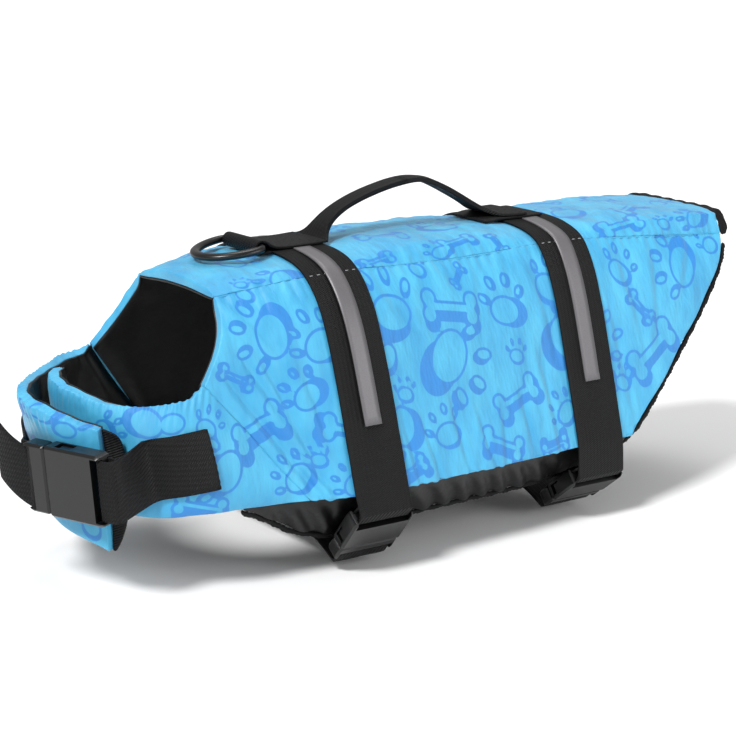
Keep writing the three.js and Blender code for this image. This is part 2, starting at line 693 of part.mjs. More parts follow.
function makeBellyStrap(name, centreX, place, under) {
  const half = webbing.width / 2;
  const lines = [-half, 0, half].map((shift) => {
    const path = bellyPath(centreX + shift, place, under);
    return {
      path,
      square: squareTo(path),
      place: (flat) => new THREE.Vector3(centreX + shift, flat.x, flat.y),
    };
  });
  const { outer, inner } = bandOf(lines, webbing.thick);
  addWall(name, outer, inner, 'webbing');
}

// Reflective tapes down the middle of a belly strap, from the webbing on the ridge to a little
// above each hem
function makeTapes(place, centreX) {
  const half = tape.width / 2;
  const lines = [-half, half].map((shift) => {
    const lift = seamGap + webbing.thick + seamGap + tape.thick / 2;
    const path = crossingPoints(centreX, lift).slice(3, -2);
    return {
      path,
      square: squareTo(path),
      place: (flat) => new THREE.Vector3(centreX + shift, flat.x, flat.y),
    };
  });
  const { outer, inner } = bandOf(lines, tape.thick);
  addWall(`tape_${place}_left`, outer, inner, 'tape');
  addWall(`tape_${place}_right`, mirrored(outer), mirrored(inner), 'tape');
}

// Height of the back at a point, on the panel's own facets near the ridge
function backHeight(x, y) {
  const across = Math.abs(y) / body('seamY', x);
  return skin(x, Math.min(across, 1)).point.z;
}

// A lengthwise band on the back: rows of x and of height over the skin
function addLengthwise(name, rows, finish) {
  const line = (y) => {
    const path = rows.map(({ x, z, over }) => new THREE.Vector2(x, z ?? backHeight(x, y) + over));
    return { path, square: squareTo(path), place: (flat) => new THREE.Vector3(flat.x, y, flat.y) };
  };
  const half = webbing.width / 2;
  const lines = [-half, -half / 2, 0, half / 2, half].map(line);
  const { outer, inner } = bandOf(lines, webbing.thick);
  addWall(name, outer, inner, finish);
}

const onPanel = seamGap + webbing.thick / 2;
const onStrap = onPanel + webbing.thick + seamGap;
const ringTurn = ring.rod + seamGap + webbing.thick / 2 + 0.2;
const ringBarZ = backHeight(ring.barX, 0) + onPanel + ringTurn + 0.3;

function makeRingTab() {
  const loop = [-70, -35, 0, 35, 70].map((degrees) => {
    const angle = (degrees * Math.PI) / 180;
    return { x: ring.barX - ringTurn * Math.cos(angle), z: ringBarZ + ringTurn * Math.sin(angle) };
  });
  const rows = [
    { x: -110.2, over: onPanel + 0.2 },
    { x: ring.barX + 1, z: ringBarZ - ringTurn },
    ...loop,
    { x: ring.barX, z: ringBarZ + ringTurn },
    { x: ring.barX + 4, z: ringBarZ + ringTurn - 0.7 },
    { x: -109.5, over: onStrap + 0.9 },
    { x: -100, over: onStrap },
    { x: -90, over: onStrap },
    { x: -80, over: onStrap },
    { x: tabEndX, over: onStrap },
  ];
  addLengthwise('ring_tab', rows, 'webbing');
}

function makeRearPatch() {
  const rows = [
    { x: patch.startX, over: onPanel },
    { x: patch.rampFrom, over: onPanel },
    { x: patch.rampTo, over: onStrap },
    { x: 71, over: onStrap },
    { x: 80, over: onStrap },
    { x: 90, over: onStrap },
    { x: patch.endX, over: onStrap },
  ];
  addLengthwise('rear_patch', rows, 'webbing');
}

function makeHandle() {
  const onPatch = onStrap + webbing.thick + seamGap;
  const foot = [71, 80, 90].map((x) => (
    { x, z: backHeight(x, 0) + onPatch, half: mix(17.5, 19, eased((x - 71) / 9)), thick: webbing.thick, cup: 0 }
  ));
  const stops = [...handleRows, ...foot];
  const line = (side) => {
    const path = stops.map(({ x, z, cup }) => new THREE.Vector2(x, z - Math.abs(side) * cup));
    return { path, square: squareTo(path), side };
  };
  const lines = [-1, -0.5, 0, 0.5, 1].map(line);
  const grid = (sign) => stops.map(({ half, thick }, i) => lines.map(({ path, square, side }) => {
    const flat = path[i].clone().addScaledVector(square[i], (sign * thick) / 2);
    const sag = i >= handleRows.length ? backHeight(path[i].x, side * half) - backHeight(path[i].x, 0) : 0;
    return new THREE.Vector3(flat.x, side * half, flat.y + sag);
  }));
  addWall('handle', grid(1), grid(-1), 'webbing');
}

// Leash ring: a straight bar and a round bow, a rod of eight sides
function makeRing() {
  const centreLine = [
    new THREE.Vector2(0, -ring.barHalf + 3),
    new THREE.Vector2(0, 0),
    new THREE.Vector2(0, ring.barHalf - 3),
    new THREE.Vector2(-1.2, ring.barHalf - 0.8),
  ];
  const arcSteps = 14;
  for (let k = 0; k <= arcSteps; k += 1) {
    const angle = (Math.PI * k) / arcSteps;
    centreLine.push(new THREE.Vector2(
      -ring.corner - (ring.reach - ring.corner) * Math.sin(angle),
      ring.barHalf * Math.cos(angle),
    ));
  }
  centreLine.push(new THREE.Vector2(-1.2, -ring.barHalf + 0.8));
  const count = centreLine.length;
  const rings = centreLine.map((point, i) => {
    const before = centreLine[(i + count - 1) % count];
    const after = centreLine[(i + 1) % count];
    const along = after.clone().sub(before).normalize();
    const square = new THREE.Vector2(-along.y, along.x);
    return Array.from({ length: 8 }, (_, k) => {
      const angle = ((k + 0.5) * Math.PI) / 4;
      const broad = mix(1, ring.broad, eased(-point.x / ring.broadBy));
      const flat = point.clone().addScaledVector(square, ring.rod * broad * Math.cos(angle));
      return new THREE.Vector3(flat.x, flat.y, ring.rod * Math.sin(angle));
    });
  });
  const mesh = addBand('leash_ring', rings, 'plastic', true);
  mesh.position.set(ring.barX, 0, ringBarZ);
  mesh.rotation.y = THREE.MathUtils.degToRad(-ring.tilt);
}

// Buckles

function toSolid(geometry) {
  geometry.deleteAttribute('normal');
  geometry.deleteAttribute('uv');
  const merged = mergeVertices(geometry);
  return new wasm.Manifold(new wasm.Mesh({
    numProp: 3,
    vertProperties: new Float32Array(merged.attributes.position.array),
    triVerts: new Uint32Array(merged.index.array),
  }));
}

function fromSolid(solid) {
  const mesh = solid.getMesh();
  const geometry = new THREE.BufferGeometry();
  geometry.setAttribute('position', new THREE.BufferAttribute(new Float32Array(mesh.vertProperties), 3));
  geometry.setIndex(new THREE.BufferAttribute(new Uint32Array(mesh.triVerts), 1));
  return geometry;
}

function block(fromX, toX, fromY, toY, high) {
  const geometry = new THREE.BoxGeometry(toX - fromX, toY - fromY, high);
  geometry.translate((fromX + toX) / 2, (fromY + toY) / 2, 0);
  return toSolid(geometry);
}

// A plate from fromX to toX with bevelled faces and its corners cut off
function plate(fromX, toX, width, high, fromCorner, toCorner) {
  const { bevel } = buckle;
  const half = width / 2;
  const cut = (x, inX, corner, side) => [
    new THREE.Vector2(x, side * (half - corner)),
    new THREE.Vector2(x + inX * corner * 0.3, side * (half - corner * 0.3)),
    new THREE.Vector2(x + inX * corner, side * half),
  ];
  const shape = new THREE.Shape([
    ...cut(fromX, 1, fromCorner, -1),
    ...cut(toX, -1, toCorner, -1).reverse(),
    ...cut(toX, -1, toCorner, 1),
    ...cut(fromX, 1, fromCorner, 1).reverse(),
  ]);
  const geometry = new THREE.ExtrudeGeometry(shape, {
    depth: high - 2 * bevel,
    bevelEnabled: true,
    bevelThickness: bevel,
    bevelSize: bevel,
    bevelOffset: -bevel,
    bevelSegments: 1,
  });
  geometry.translate(0, 0, -high / 2 + bevel);
  return toSolid(geometry);
}

function slotted(solid, fromX, toX, barFrom, barTo) {
  const b = buckle;
  const room = (b.thick - b.barHigh) / 2 + 1;
  const level = (b.barHigh + room) / 2;
  return solid
    .subtract(block(fromX, toX, -b.slotHalf, b.slotHalf, b.thick + 2))
    .subtract(block(barFrom, barTo, -b.slotHalf, b.slotHalf, room).translate([0, 0, level]))
    .subtract(block(barFrom, barTo, -b.slotHalf, b.slotHalf, room).translate([0, 0, -level]));
}

function socketSolid(long) {
  const b = buckle;
  const slotFrom = b.barEnd + b.bar;
  const shell = plate(b.barEnd, long.mouth, b.width, b.thick, b.corner, b.mouthCorner);
  const { before, half, high } = b.cavity;
  return slotted(shell, slotFrom, slotFrom + b.slot, b.barEnd - 1, slotFrom + 0.1)
    .subtract(block(long.windowFrom - before, long.mouth + 2, -half, half, high))
    .subtract(block(long.windowFrom, long.windowTo, -b.width, b.width, b.windowHigh));
}

function plugSolid(long) {
  const b = buckle;
  const start = long.mouth + b.mouthGap;
  const prongFrom = long.windowFrom + b.prong.after;
  const buttonTo = long.windowTo - b.button.short;
  const guideFrom = long.windowFrom + b.guide.after;
  const barFrom = long.plugEnd - b.bar;
  const base = plate(start, long.plugEnd, b.width - 1, b.thick - 1, b.mouthCorner, b.corner);
  let solid = slotted(base, barFrom - b.slot, barFrom, barFrom - 0.1, long.plugEnd + 1);
  for (const side of [-1, 1]) {
    const edges = (a, c) => [Math.min(side * a, side * c), Math.max(side * a, side * c)];
    solid = solid
      .add(block(prongFrom, start + 1, ...edges(b.prong.inner, b.prong.outer), b.prong.high))
      .add(block(prongFrom, buttonTo, ...edges(b.prong.inner, b.button.reach), b.prong.high));
  }
  return solid.add(block(guideFrom, start + 1, -b.guide.half, b.guide.half, b.guide.high));
}

// Places both halves of a buckle by its bar's end point and its three directions
function addBuckle(socketName, plugName, long, end, run, across, out) {
  const turned = new THREE.Matrix4().makeBasis(run, across, out);
  const origin = end.clone().addScaledVector(run, -buckle.barEnd);
  for (const [name, solid] of [[socketName, socketSolid(long)], [plugName, plugSolid(long)]]) {
    const mesh = addMesh(name, fromSolid(solid), 'plastic');
    mesh.quaternion.setFromRotationMatrix(turned);
    mesh.position.copy(origin);
  }
}

function makeBellyBuckle(place, key) {
  const end = new THREE.Vector3(strapX[key], place.y, place.z);
  const run = new THREE.Vector3(0, place.inward, -place.down).normalize();
  const out = new THREE.Vector3(0, -place.down, -place.inward).normalize();
  const across = out.clone().cross(run);
  const names = [`belly_buckle_socket_${key}`, `belly_buckle_plug_${key}`];
  addBuckle(...names, bellyLength, end, run, across, out);
}

function chestFrame() {
  const run = new THREE.Vector3(chestBuckle.runX, chestBuckle.runY, 0).normalize();
  const up = new THREE.Vector3(chestBuckle.leanX, 0, 1);
  up.addScaledVector(run, -up.dot(run)).normalize();
  const out = up.clone().cross(run).normalize();
  if (out.x > 0) out.negate();
  const across = out.clone().cross(run);
  const middle = new THREE.Vector3(chestBuckle.x, chestBuckle.y, chestBuckle.z);
  const half = (chestLength.plugEnd - buckle.barEnd) / 2;
  const end = middle.clone().addScaledVector(run, -half);
  return { run, up, out, across, end };
}

// A band of three threads, each a list of points with its outward directions
function addRibbon(name, threads, finish) {
  const grid = (sign) => threads[1].map((_, i) => threads.map((thread) => (
    thread[i].point.clone().addScaledVector(thread[i].out, (sign * webbing.thick) / 2)
  )));
  addWall(name, grid(1), grid(-1), finish);
}

// A chest strap: the part that lies on its flap, then the part that runs to and round a bar
function makeChestStrap(name, rows, side, strapRows, steps) {
  const { run, up, out, end } = chestFrame();
  const local = ({ run: along, rise, lift = 0 }, shift) => end.clone()
    .addScaledVector(run, along - buckle.barEnd)
    .addScaledVector(out, rise)
    .addScaledVector(up, shift + lift);
  const half = webbing.width / 2;
  const threads = [1, 0, -1].map((edge) => {
    const onFlap = strapRows.map(({ station, lean, high, low }) => {
      const step = mix(low, high, (edge + 1) / 2);
      const { point, inward } = flapPlace(rows, side, station - lean * edge, step);
      return point.addScaledVector(inward, -(seamGap + webbing.thick / 2 + 0.7));
    });
    return [...onFlap, ...steps.map((step) => local(step, edge * half))];
  });
  const ribbon = threads.map((thread) => thread.map((point, i) => {
    const along = thread[Math.min(i + 1, thread.length - 1)].clone().sub(thread[Math.max(i - 1, 0)]);
    const width = threads[0][i].clone().sub(threads[2][i]);
    return { point, out: along.cross(width).normalize() };
  }));
  addRibbon(name, ribbon, 'webbing');
}

function makeChestStraps() {
  makeChestStrap('chest_strap_left', innerFlapRows, -1, leftStrapRows, [
    { run: buckle.barEnd - 9, rise: 3.2 },
    ...barFold(chestLength, 1, 1),
    { run: buckle.barEnd - 6, rise: -3 },
  ]);
  makeChestStrap('chest_strap_right', outerFlapRows, 1, rightStrapRows, [
    { run: chestLength.plugEnd + 7, rise: -3.4 },
    ...barFold(chestLength, -1, -1),
    { run: chestLength.plugEnd + 5, rise: 4, lift: 3 },
    { run: chestLength.plugEnd + 12, rise: 4.5, lift: 8 },
    { run: chestLength.plugEnd + 21, rise: 2.5, lift: 14 },
  ]);
}

// Hook strip that stands out past the outer flap's end
function makeFastener(outer) {
  const last = outer.at(-1);
  const before = outer.at(-3);
  const stops = last.map((cell, j) => {
    const away = cell.point.clone().sub(before[j].point).normalize();
    const base = cell.point.clone().addScaledVector(cell.inward, cell.thick * 0.75);
    return { base, away, inward: cell.inward };
  });
  const grid = (depth) => stops.map(({ base, away, inward }, j) => (
    [0.8, fastenerStrip.reaches[j]].map((reach) => (
      base.clone().addScaledVector(away, reach).addScaledVector(inward, depth * fastenerStrip.thick)
    ))
  ));
  addWall('flap_fastener', grid(-0.5), grid(0.5), 'webbing');
}

makeBack();
const sidePanel = sideCells();
addPanelPair('side_panel_left', 'side_lining_left', sidePanel, asIs);
addPanelPair('side_panel_right', 'side_lining_right', sidePanel, mirrored);
makeFlaps();
makeBellyFlap('left', bellySlope.left, sidePanel, asIs);
makeBellyFlap('right', bellySlope.right, sidePanel, mirrored);
makeTailBinding();
makeBellyStrap('belly_strap_front', strapX.front, bellyBuckles.front, underBelly.front);
makeBellyStrap('belly_strap_rear', strapX.rear, bellyBuckles.rear, underBelly.rear);
makeTapes('front', strapX.front);
makeTapes('rear', strapX.rear);
makeRingTab();
makeRearPatch();
makeHandle();
makeRing();
makeBellyBuckle(bellyBuckles.front, 'front');
makeBellyBuckle(bellyBuckles.rear, 'rear');
const chest = chestFrame();
addBuckle('chest_buckle_socket', 'chest_buckle_plug', chestLength, chest.end, chest.run, chest.across, chest.out);
makeChestStraps();

export default jacket;
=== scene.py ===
import math

import bmesh
import bpy
import numpy as np
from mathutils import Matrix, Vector, noise


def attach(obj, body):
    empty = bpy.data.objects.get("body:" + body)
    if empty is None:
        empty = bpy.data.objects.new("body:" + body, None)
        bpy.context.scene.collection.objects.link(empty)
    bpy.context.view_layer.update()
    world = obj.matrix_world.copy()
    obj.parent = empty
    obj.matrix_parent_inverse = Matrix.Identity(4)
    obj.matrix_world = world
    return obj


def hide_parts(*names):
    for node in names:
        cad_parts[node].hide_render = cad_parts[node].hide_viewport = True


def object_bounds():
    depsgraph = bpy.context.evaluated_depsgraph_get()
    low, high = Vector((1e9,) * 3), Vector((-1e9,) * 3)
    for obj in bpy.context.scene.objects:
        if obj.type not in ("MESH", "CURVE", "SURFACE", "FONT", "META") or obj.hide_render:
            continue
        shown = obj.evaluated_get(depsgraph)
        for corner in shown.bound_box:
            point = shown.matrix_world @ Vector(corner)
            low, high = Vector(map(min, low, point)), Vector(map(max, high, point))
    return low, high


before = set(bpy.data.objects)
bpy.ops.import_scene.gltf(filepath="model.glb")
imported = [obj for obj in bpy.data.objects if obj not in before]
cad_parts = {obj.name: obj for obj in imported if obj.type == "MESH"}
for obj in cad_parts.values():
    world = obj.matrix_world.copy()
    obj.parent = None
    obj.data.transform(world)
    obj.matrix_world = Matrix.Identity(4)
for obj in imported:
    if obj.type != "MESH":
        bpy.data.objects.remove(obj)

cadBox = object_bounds()
mm = 0.001
print("frame loaded:", len(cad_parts), "nodes")


# shader maths written as expressions

class Socket:
    def __init__(self, shader, link):
        self.shader = shader
        self.link = link

    def maths(self, operation, first, second=0.0):
        return self.shader.node("Math", {"operation": operation}, {0: first, 1: second})

    def __add__(self, other):
        return self.maths("ADD", self, other)

    def __radd__(self, other):
        return self.maths("ADD", other, self)

    def __sub__(self, other):
        return self.maths("SUBTRACT", self, other)

    def __rsub__(self, other):
        return self.maths("SUBTRACT", other, self)

    def __mul__(self, other):
        return self.maths("MULTIPLY", self, other)

    def __rmul__(self, other):
        return self.maths("MULTIPLY", other, self)

    def __truediv__(self, other):
        return self.maths("DIVIDE", self, other)

    def __rtruediv__(self, other):
        return self.maths("DIVIDE", other, self)

    def sine(self):
        return self.maths("SINE", self)

    def clamped(self):
        return self.maths("MINIMUM", self.maths("MAXIMUM", self, 0.0), 1.0)


colourMix = {"factor": 0, "first": 6, "second": 7, "result": 2}   # the Mix node's colour sockets, by number


class Shader:
    def __init__(self, name):
        self.material = bpy.data.materials.new(name)
        self.material.use_nodes = True
        self.nodes = self.material.node_tree.nodes
        self.nodes.clear()

    def node(self, kind, settings=None, values=None, output=0):
        made = self.nodes.new("ShaderNode" + kind)
        for name, value in (settings or {}).items():
            setattr(made, name, value)
        for key, value in (values or {}).items():
            if isinstance(value, Socket):
                self.material.node_tree.links.new(value.link, made.inputs[key])
            else:
                made.inputs[key].default_value = value
        return Socket(self, made.outputs[output]) if len(made.outputs) else None

    def attribute(self, name):
        return self.node("Attribute", {"attribute_name": name}, output="Fac")

    def blendOf(self, factor, first, second):
        sockets = {colourMix["factor"]: factor, colourMix["first"]: first, colourMix["second"]: second}
        return self.node("Mix", {"data_type": "RGBA"}, sockets, output=colourMix["result"])

    def noiseOf(self, vector, scale, detail):
        return self.node("TexNoise", {}, {"Vector": vector, "Scale": scale, "Detail": detail})

    def objectPlace(self):
        return self.node("TexCoord", output="Object")

    def bump(self, height, strength, distance):
        return self.node("Bump", {}, {"Height": height, "Strength": strength, "Distance": distance})

    def surface(self, values):
        self.node("OutputMaterial", {}, {"Surface": self.node("BsdfPrincipled", {}, values)})
        return self.material


def colour(red, green, blue):
    linear = []
    for part in (red, green, blue):
        share = part / 255
        linear.append(share / 12.92 if part <= 10 else ((share + 0.055) / 1.055) ** 2.4)
    return (*linear, 1.0)


clothLook = {
    "ground": colour(72, 176, 214),
    "deep": colour(48, 150, 198),
    "motif": colour(22, 120, 196),
    "motifStrength": 0.92,
    "edgeSoftness": 0.45,       # mm over which a printed edge fades
    "drawnOut": (1.0, 0.5, 0.4),  # under 1 makes the marks longer that way
    "detail": 3.0,
    "mottleScale": 75.0, "mottleContrast": 2.4, "mottleStart": 0.75,
    "wrinkleScale": 70.0,
    "wrinkleHeight": 0.0034,
    "weavePitch": 0.9,          # mm between threads
    "weaveHeight": 0.012,       # share of a wrinkle
    "bump": 1.0,
    "roughness": 0.5,
    "sheen": 0.25, "sheenRoughness": 0.4,
    "specular": 0.6,
}


def printedCloth():
    look = clothLook
    shader = Shader("printed cloth")
    place = shader.objectPlace()
    outer = shader.attribute("printOuter")
    inner = shader.attribute("printInner")
    inMotif = (0.5 - outer / look["edgeSoftness"]).clamped() * (0.5 + inner / look["edgeSoftness"]).clamped()
    drawnOut = shader.node("Mapping", {}, {"Vector": place, "Scale": look["drawnOut"]})
    mottle = shader.noiseOf(drawnOut, look["mottleScale"], look["detail"])
    deepShare = (mottle * look["mottleContrast"] - look["mottleStart"]).clamped()
    ground = shader.blendOf(deepShare, look["deep"], look["ground"])
    printed = shader.blendOf(inMotif * look["motifStrength"], ground, look["motif"])
    along = shader.attribute("threadAlong")
    across = shader.attribute("threadAcross")
    turns = 2 * math.pi / look["weavePitch"]
    weave = (along * turns).sine() * (across * turns).sine()
    wrinkle = shader.noiseOf(drawnOut, look["wrinkleScale"], look["detail"])
    relief = shader.bump(wrinkle + weave * look["weaveHeight"], look["bump"], look["wrinkleHeight"])
    return shader.surface({
        "Base Color": printed, "Roughness": look["roughness"], "Normal": relief,
        "Sheen Weight": look["sheen"], "Sheen Roughness": look["sheenRoughness"],
        "Specular IOR Level": look["specular"],
    })


webbingLook = {
    "ground": colour(8, 8, 9), "depth": 0.00045,
    "elasticGround": colour(5, 5, 6), "elasticDepth": 0.0003,
    "pitch": 1.5,               # mm between ribs
    "lean": 0.55,               # how far a rib leans along the strap
    "cordTurns": 0.52,          # cords to a pitch
    "fuzzScale": 900.0, "fuzzDetail": 2.0,
    "twillHeight": 0.6, "cordHeight": 0.35, "fuzzHeight": 0.5,
    "bump": 0.8,
    "paintedHighlightTimes": 1.7,            # painted highlight: how much lighter a rib's top is painted than its foot
    "roughness": 0.62,
    "specular": 0.25,
}


def webbingCloth(name, ground, depth):
    look = webbingLook
    shader = Shader(name)
    along = shader.attribute("threadAlong")
    across = shader.attribute("threadAcross")
    turns = 2 * math.pi / look["pitch"]
    twill = ((along + across * look["lean"]) * turns).sine()
    cords = (across * (turns * look["cordTurns"])).sine()
    fuzz = shader.noiseOf(shader.objectPlace(), look["fuzzScale"], look["fuzzDetail"])
    height = twill * look["twillHeight"] + cords * look["cordHeight"] + fuzz * look["fuzzHeight"]
    relief = shader.bump(height, look["bump"], depth)
    # painted highlight: the twill's rib tops are coloured lighter than their feet, as if lit
    paintedRibHighlight = tuple(part * look["paintedHighlightTimes"] for part in ground[:3]) + (1.0,)
    ribsWithPaintedHighlight = shader.blendOf((twill * 0.5 + 0.5).clamped(), ground, paintedRibHighlight)
    return shader.surface({
        "Base Color": ribsWithPaintedHighlight, "Roughness": look["roughness"], "Normal": relief,
        "Specular IOR Level": look["specular"],
    })


liningLook = {
    "ground": colour(5, 5, 6),
    "foldScale": 55.0, "foldDetail": 3.0, "foldDepth": 0.0022,
    "grainScale": 1400.0, "grainDetail": 2.0, "grainHeight": 0.05,
    "bump": 0.5,
    "roughness": 0.42,
    "specular": 0.35,
}


def liningCloth():
    look = liningLook
    shader = Shader("black lining")
    place = shader.objectPlace()
    folds = shader.noiseOf(place, look["foldScale"], look["foldDetail"])
    grain = shader.noiseOf(place, look["grainScale"], look["grainDetail"])
    relief = shader.bump(folds + grain * look["grainHeight"], look["bump"], look["foldDepth"])
    return shader.surface({
        "Base Color": look["ground"], "Roughness": look["roughness"], "Normal": relief,
        "Specular IOR Level": look["specular"],
    })


tapeLook = {
    "dull": colour(96, 94, 97), "bright": colour(112, 110, 113),
    "grainScale": 1600.0, "grainDetail": 2.0, "grainContrast": 1.4, "grainStart": 0.2,
    "bump": 0.3, "grainDepth": 0.0002,
    "roughness": 0.42,
    "metallic": 0.25,
}


def tapeCloth():
    look = tapeLook
    shader = Shader("reflective tape")
    grain = shader.noiseOf(shader.objectPlace(), look["grainScale"], look["grainDetail"])
    brightShare = (grain * look["grainContrast"] - look["grainStart"]).clamped()
    tone = shader.blendOf(brightShare, look["dull"], look["bright"])
    relief = shader.bump(grain, look["bump"], look["grainDepth"])
    return shader.surface({
        "Base Color": tone, "Roughness": look["roughness"], "Metallic": look["metallic"], "Normal": relief,
    })


plasticLook = {
    "ground": colour(8, 8, 8), "roughness": 0.3,
    "grainScale": 1500.0, "grainDetail": 2.0, "bump": 0.12, "grainDepth": 0.0002,
}


def mouldedPlastic():
    look = plasticLook
    shader = Shader("moulded plastic")
    grain = shader.noiseOf(shader.objectPlace(), look["grainScale"], look["grainDetail"])
    relief = shader.bump(grain, look["bump"], look["grainDepth"])
    return shader.surface({"Base Color": look["ground"], "Roughness": look["roughness"], "Normal": relief})


threadLook = {"dark": colour(14, 14, 16), "pale": colour(176, 178, 180), "roughness": 0.7}


def plainThread(name, ground):
    return Shader(name).surface({"Base Color": ground, "Roughness": threadLook["roughness"]})


finishes = {
    "printed_cloth": printedCloth(),
    "black_lining": liningCloth(),
    "elastic_edge": webbingCloth(
        "gathered elastic", webbingLook["elasticGround"], webbingLook["elasticDepth"]),
    "webbing": webbingCloth("ribbed webbing", webbingLook["ground"], webbingLook["depth"]),
    "reflective_tape": tapeCloth(),
    "moulded_plastic": mouldedPlastic(),
}
threadFinishes = {shade: plainThread(f"{shade} thread", threadLook[shade]) for shade in ("dark", "pale")}
print("materials made:", len(finishes) + len(threadFinishes))


# pieces made from their own CAD solids

solidPlan = {
    "merge": 1e-6,                          # metres under which corners are one
    "joinedFace": 60, "joinedShape": 89,    # limits for joining triangles, degrees
    "splitPasses": 3,
    "lengthwise": 0.75,                     # share of its length that a split edge runs along x
}


def solidCopy(nodeName):
    bm = bmesh.new()
    bm.from_mesh(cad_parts[nodeName].data)
    bmesh.ops.remove_doubles(bm, verts=bm.verts, dist=solidPlan["merge"])
    for face in bm.faces:
        face.smooth = True
    return bm


def splitLengthwise(bm, longest):
    for _ in range(solidPlan["splitPasses"]):
        long = [
            edge for edge in bm.edges
            if edge.calc_length() > longest
            and abs(edge.verts[1].co.x - edge.verts[0].co.x) > solidPlan["lengthwise"] * edge.calc_length()
        ]
        if not long:
            return
        bmesh.ops.subdivide_edges(bm, edges=long, cuts=1, use_grid_fill=True)


def foldedEdges(bm, degrees):
    return [
        edge for edge in bm.edges
        if len(edge.link_faces) == 2 and edge.calc_face_angle() > math.radians(degrees)
    ]


def softened(nodeName, levels, sharp=35, crease=0.85, longest=None):
    bm = solidCopy(nodeName)
    bmesh.ops.join_triangles(
        bm, faces=bm.faces, angle_face_threshold=math.radians(solidPlan["joinedFace"]),
        angle_shape_threshold=math.radians(solidPlan["joinedShape"]))
    if longest:
        splitLengthwise(bm, longest)
    creases = bm.edges.layers.float.new("crease_edge")
    for edge in foldedEdges(bm, sharp):
        edge[creases] = crease
    mesh = bpy.data.meshes.new(nodeName)
    bm.to_mesh(mesh)
    bm.free()
    rough = bpy.data.objects.new(nodeName, mesh)
    bpy.context.scene.collection.objects.link(rough)
    finer = rough.modifiers.new("finer", "SUBSURF")
    finer.levels = finer.render_levels = levels
    graph = bpy.context.evaluated_depsgraph_get()
    done = bpy.data.meshes.new_from_object(rough.evaluated_get(graph))
    bpy.data.objects.remove(rough)
    for polygon in done.polygons:
        polygon.use_smooth = True
    return done


# a mesh's points in millimetres, and its normals

def pointsOf(mesh):
    flat = np.zeros(len(mesh.vertices) * 3)
    mesh.vertices.foreach_get("co", flat)
    return flat.reshape(-1, 3) / mm


def normalsOf(mesh):
    flat = np.zeros(len(mesh.vertices) * 3)
    mesh.vertices.foreach_get("normal", flat)
    return flat.reshape(-1, 3)


def setPoints(mesh, points):
    mesh.vertices.foreach_set("co", (points * mm).ravel())
    mesh.update()


def setValues(mesh, name, values):
    layer = mesh.attributes.new(name, "FLOAT", "POINT")
    layer.data.foreach_set("value", values.astype(np.float32))


def addPiece(mesh, name, body="jacket", slot=None, material=None, stands=()):
    made = bpy.data.objects.new(name, mesh)
    bpy.context.scene.collection.objects.link(made)
    mesh.materials.clear()
    mesh.materials.append(material or finishes[slot])
    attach(made, body)
    if stands:
        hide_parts(*stands)
    return made


# charts of the print: centre and size in millimetres, turn and shade in degrees, and amount,
# how many millimetres the shadow falls that way

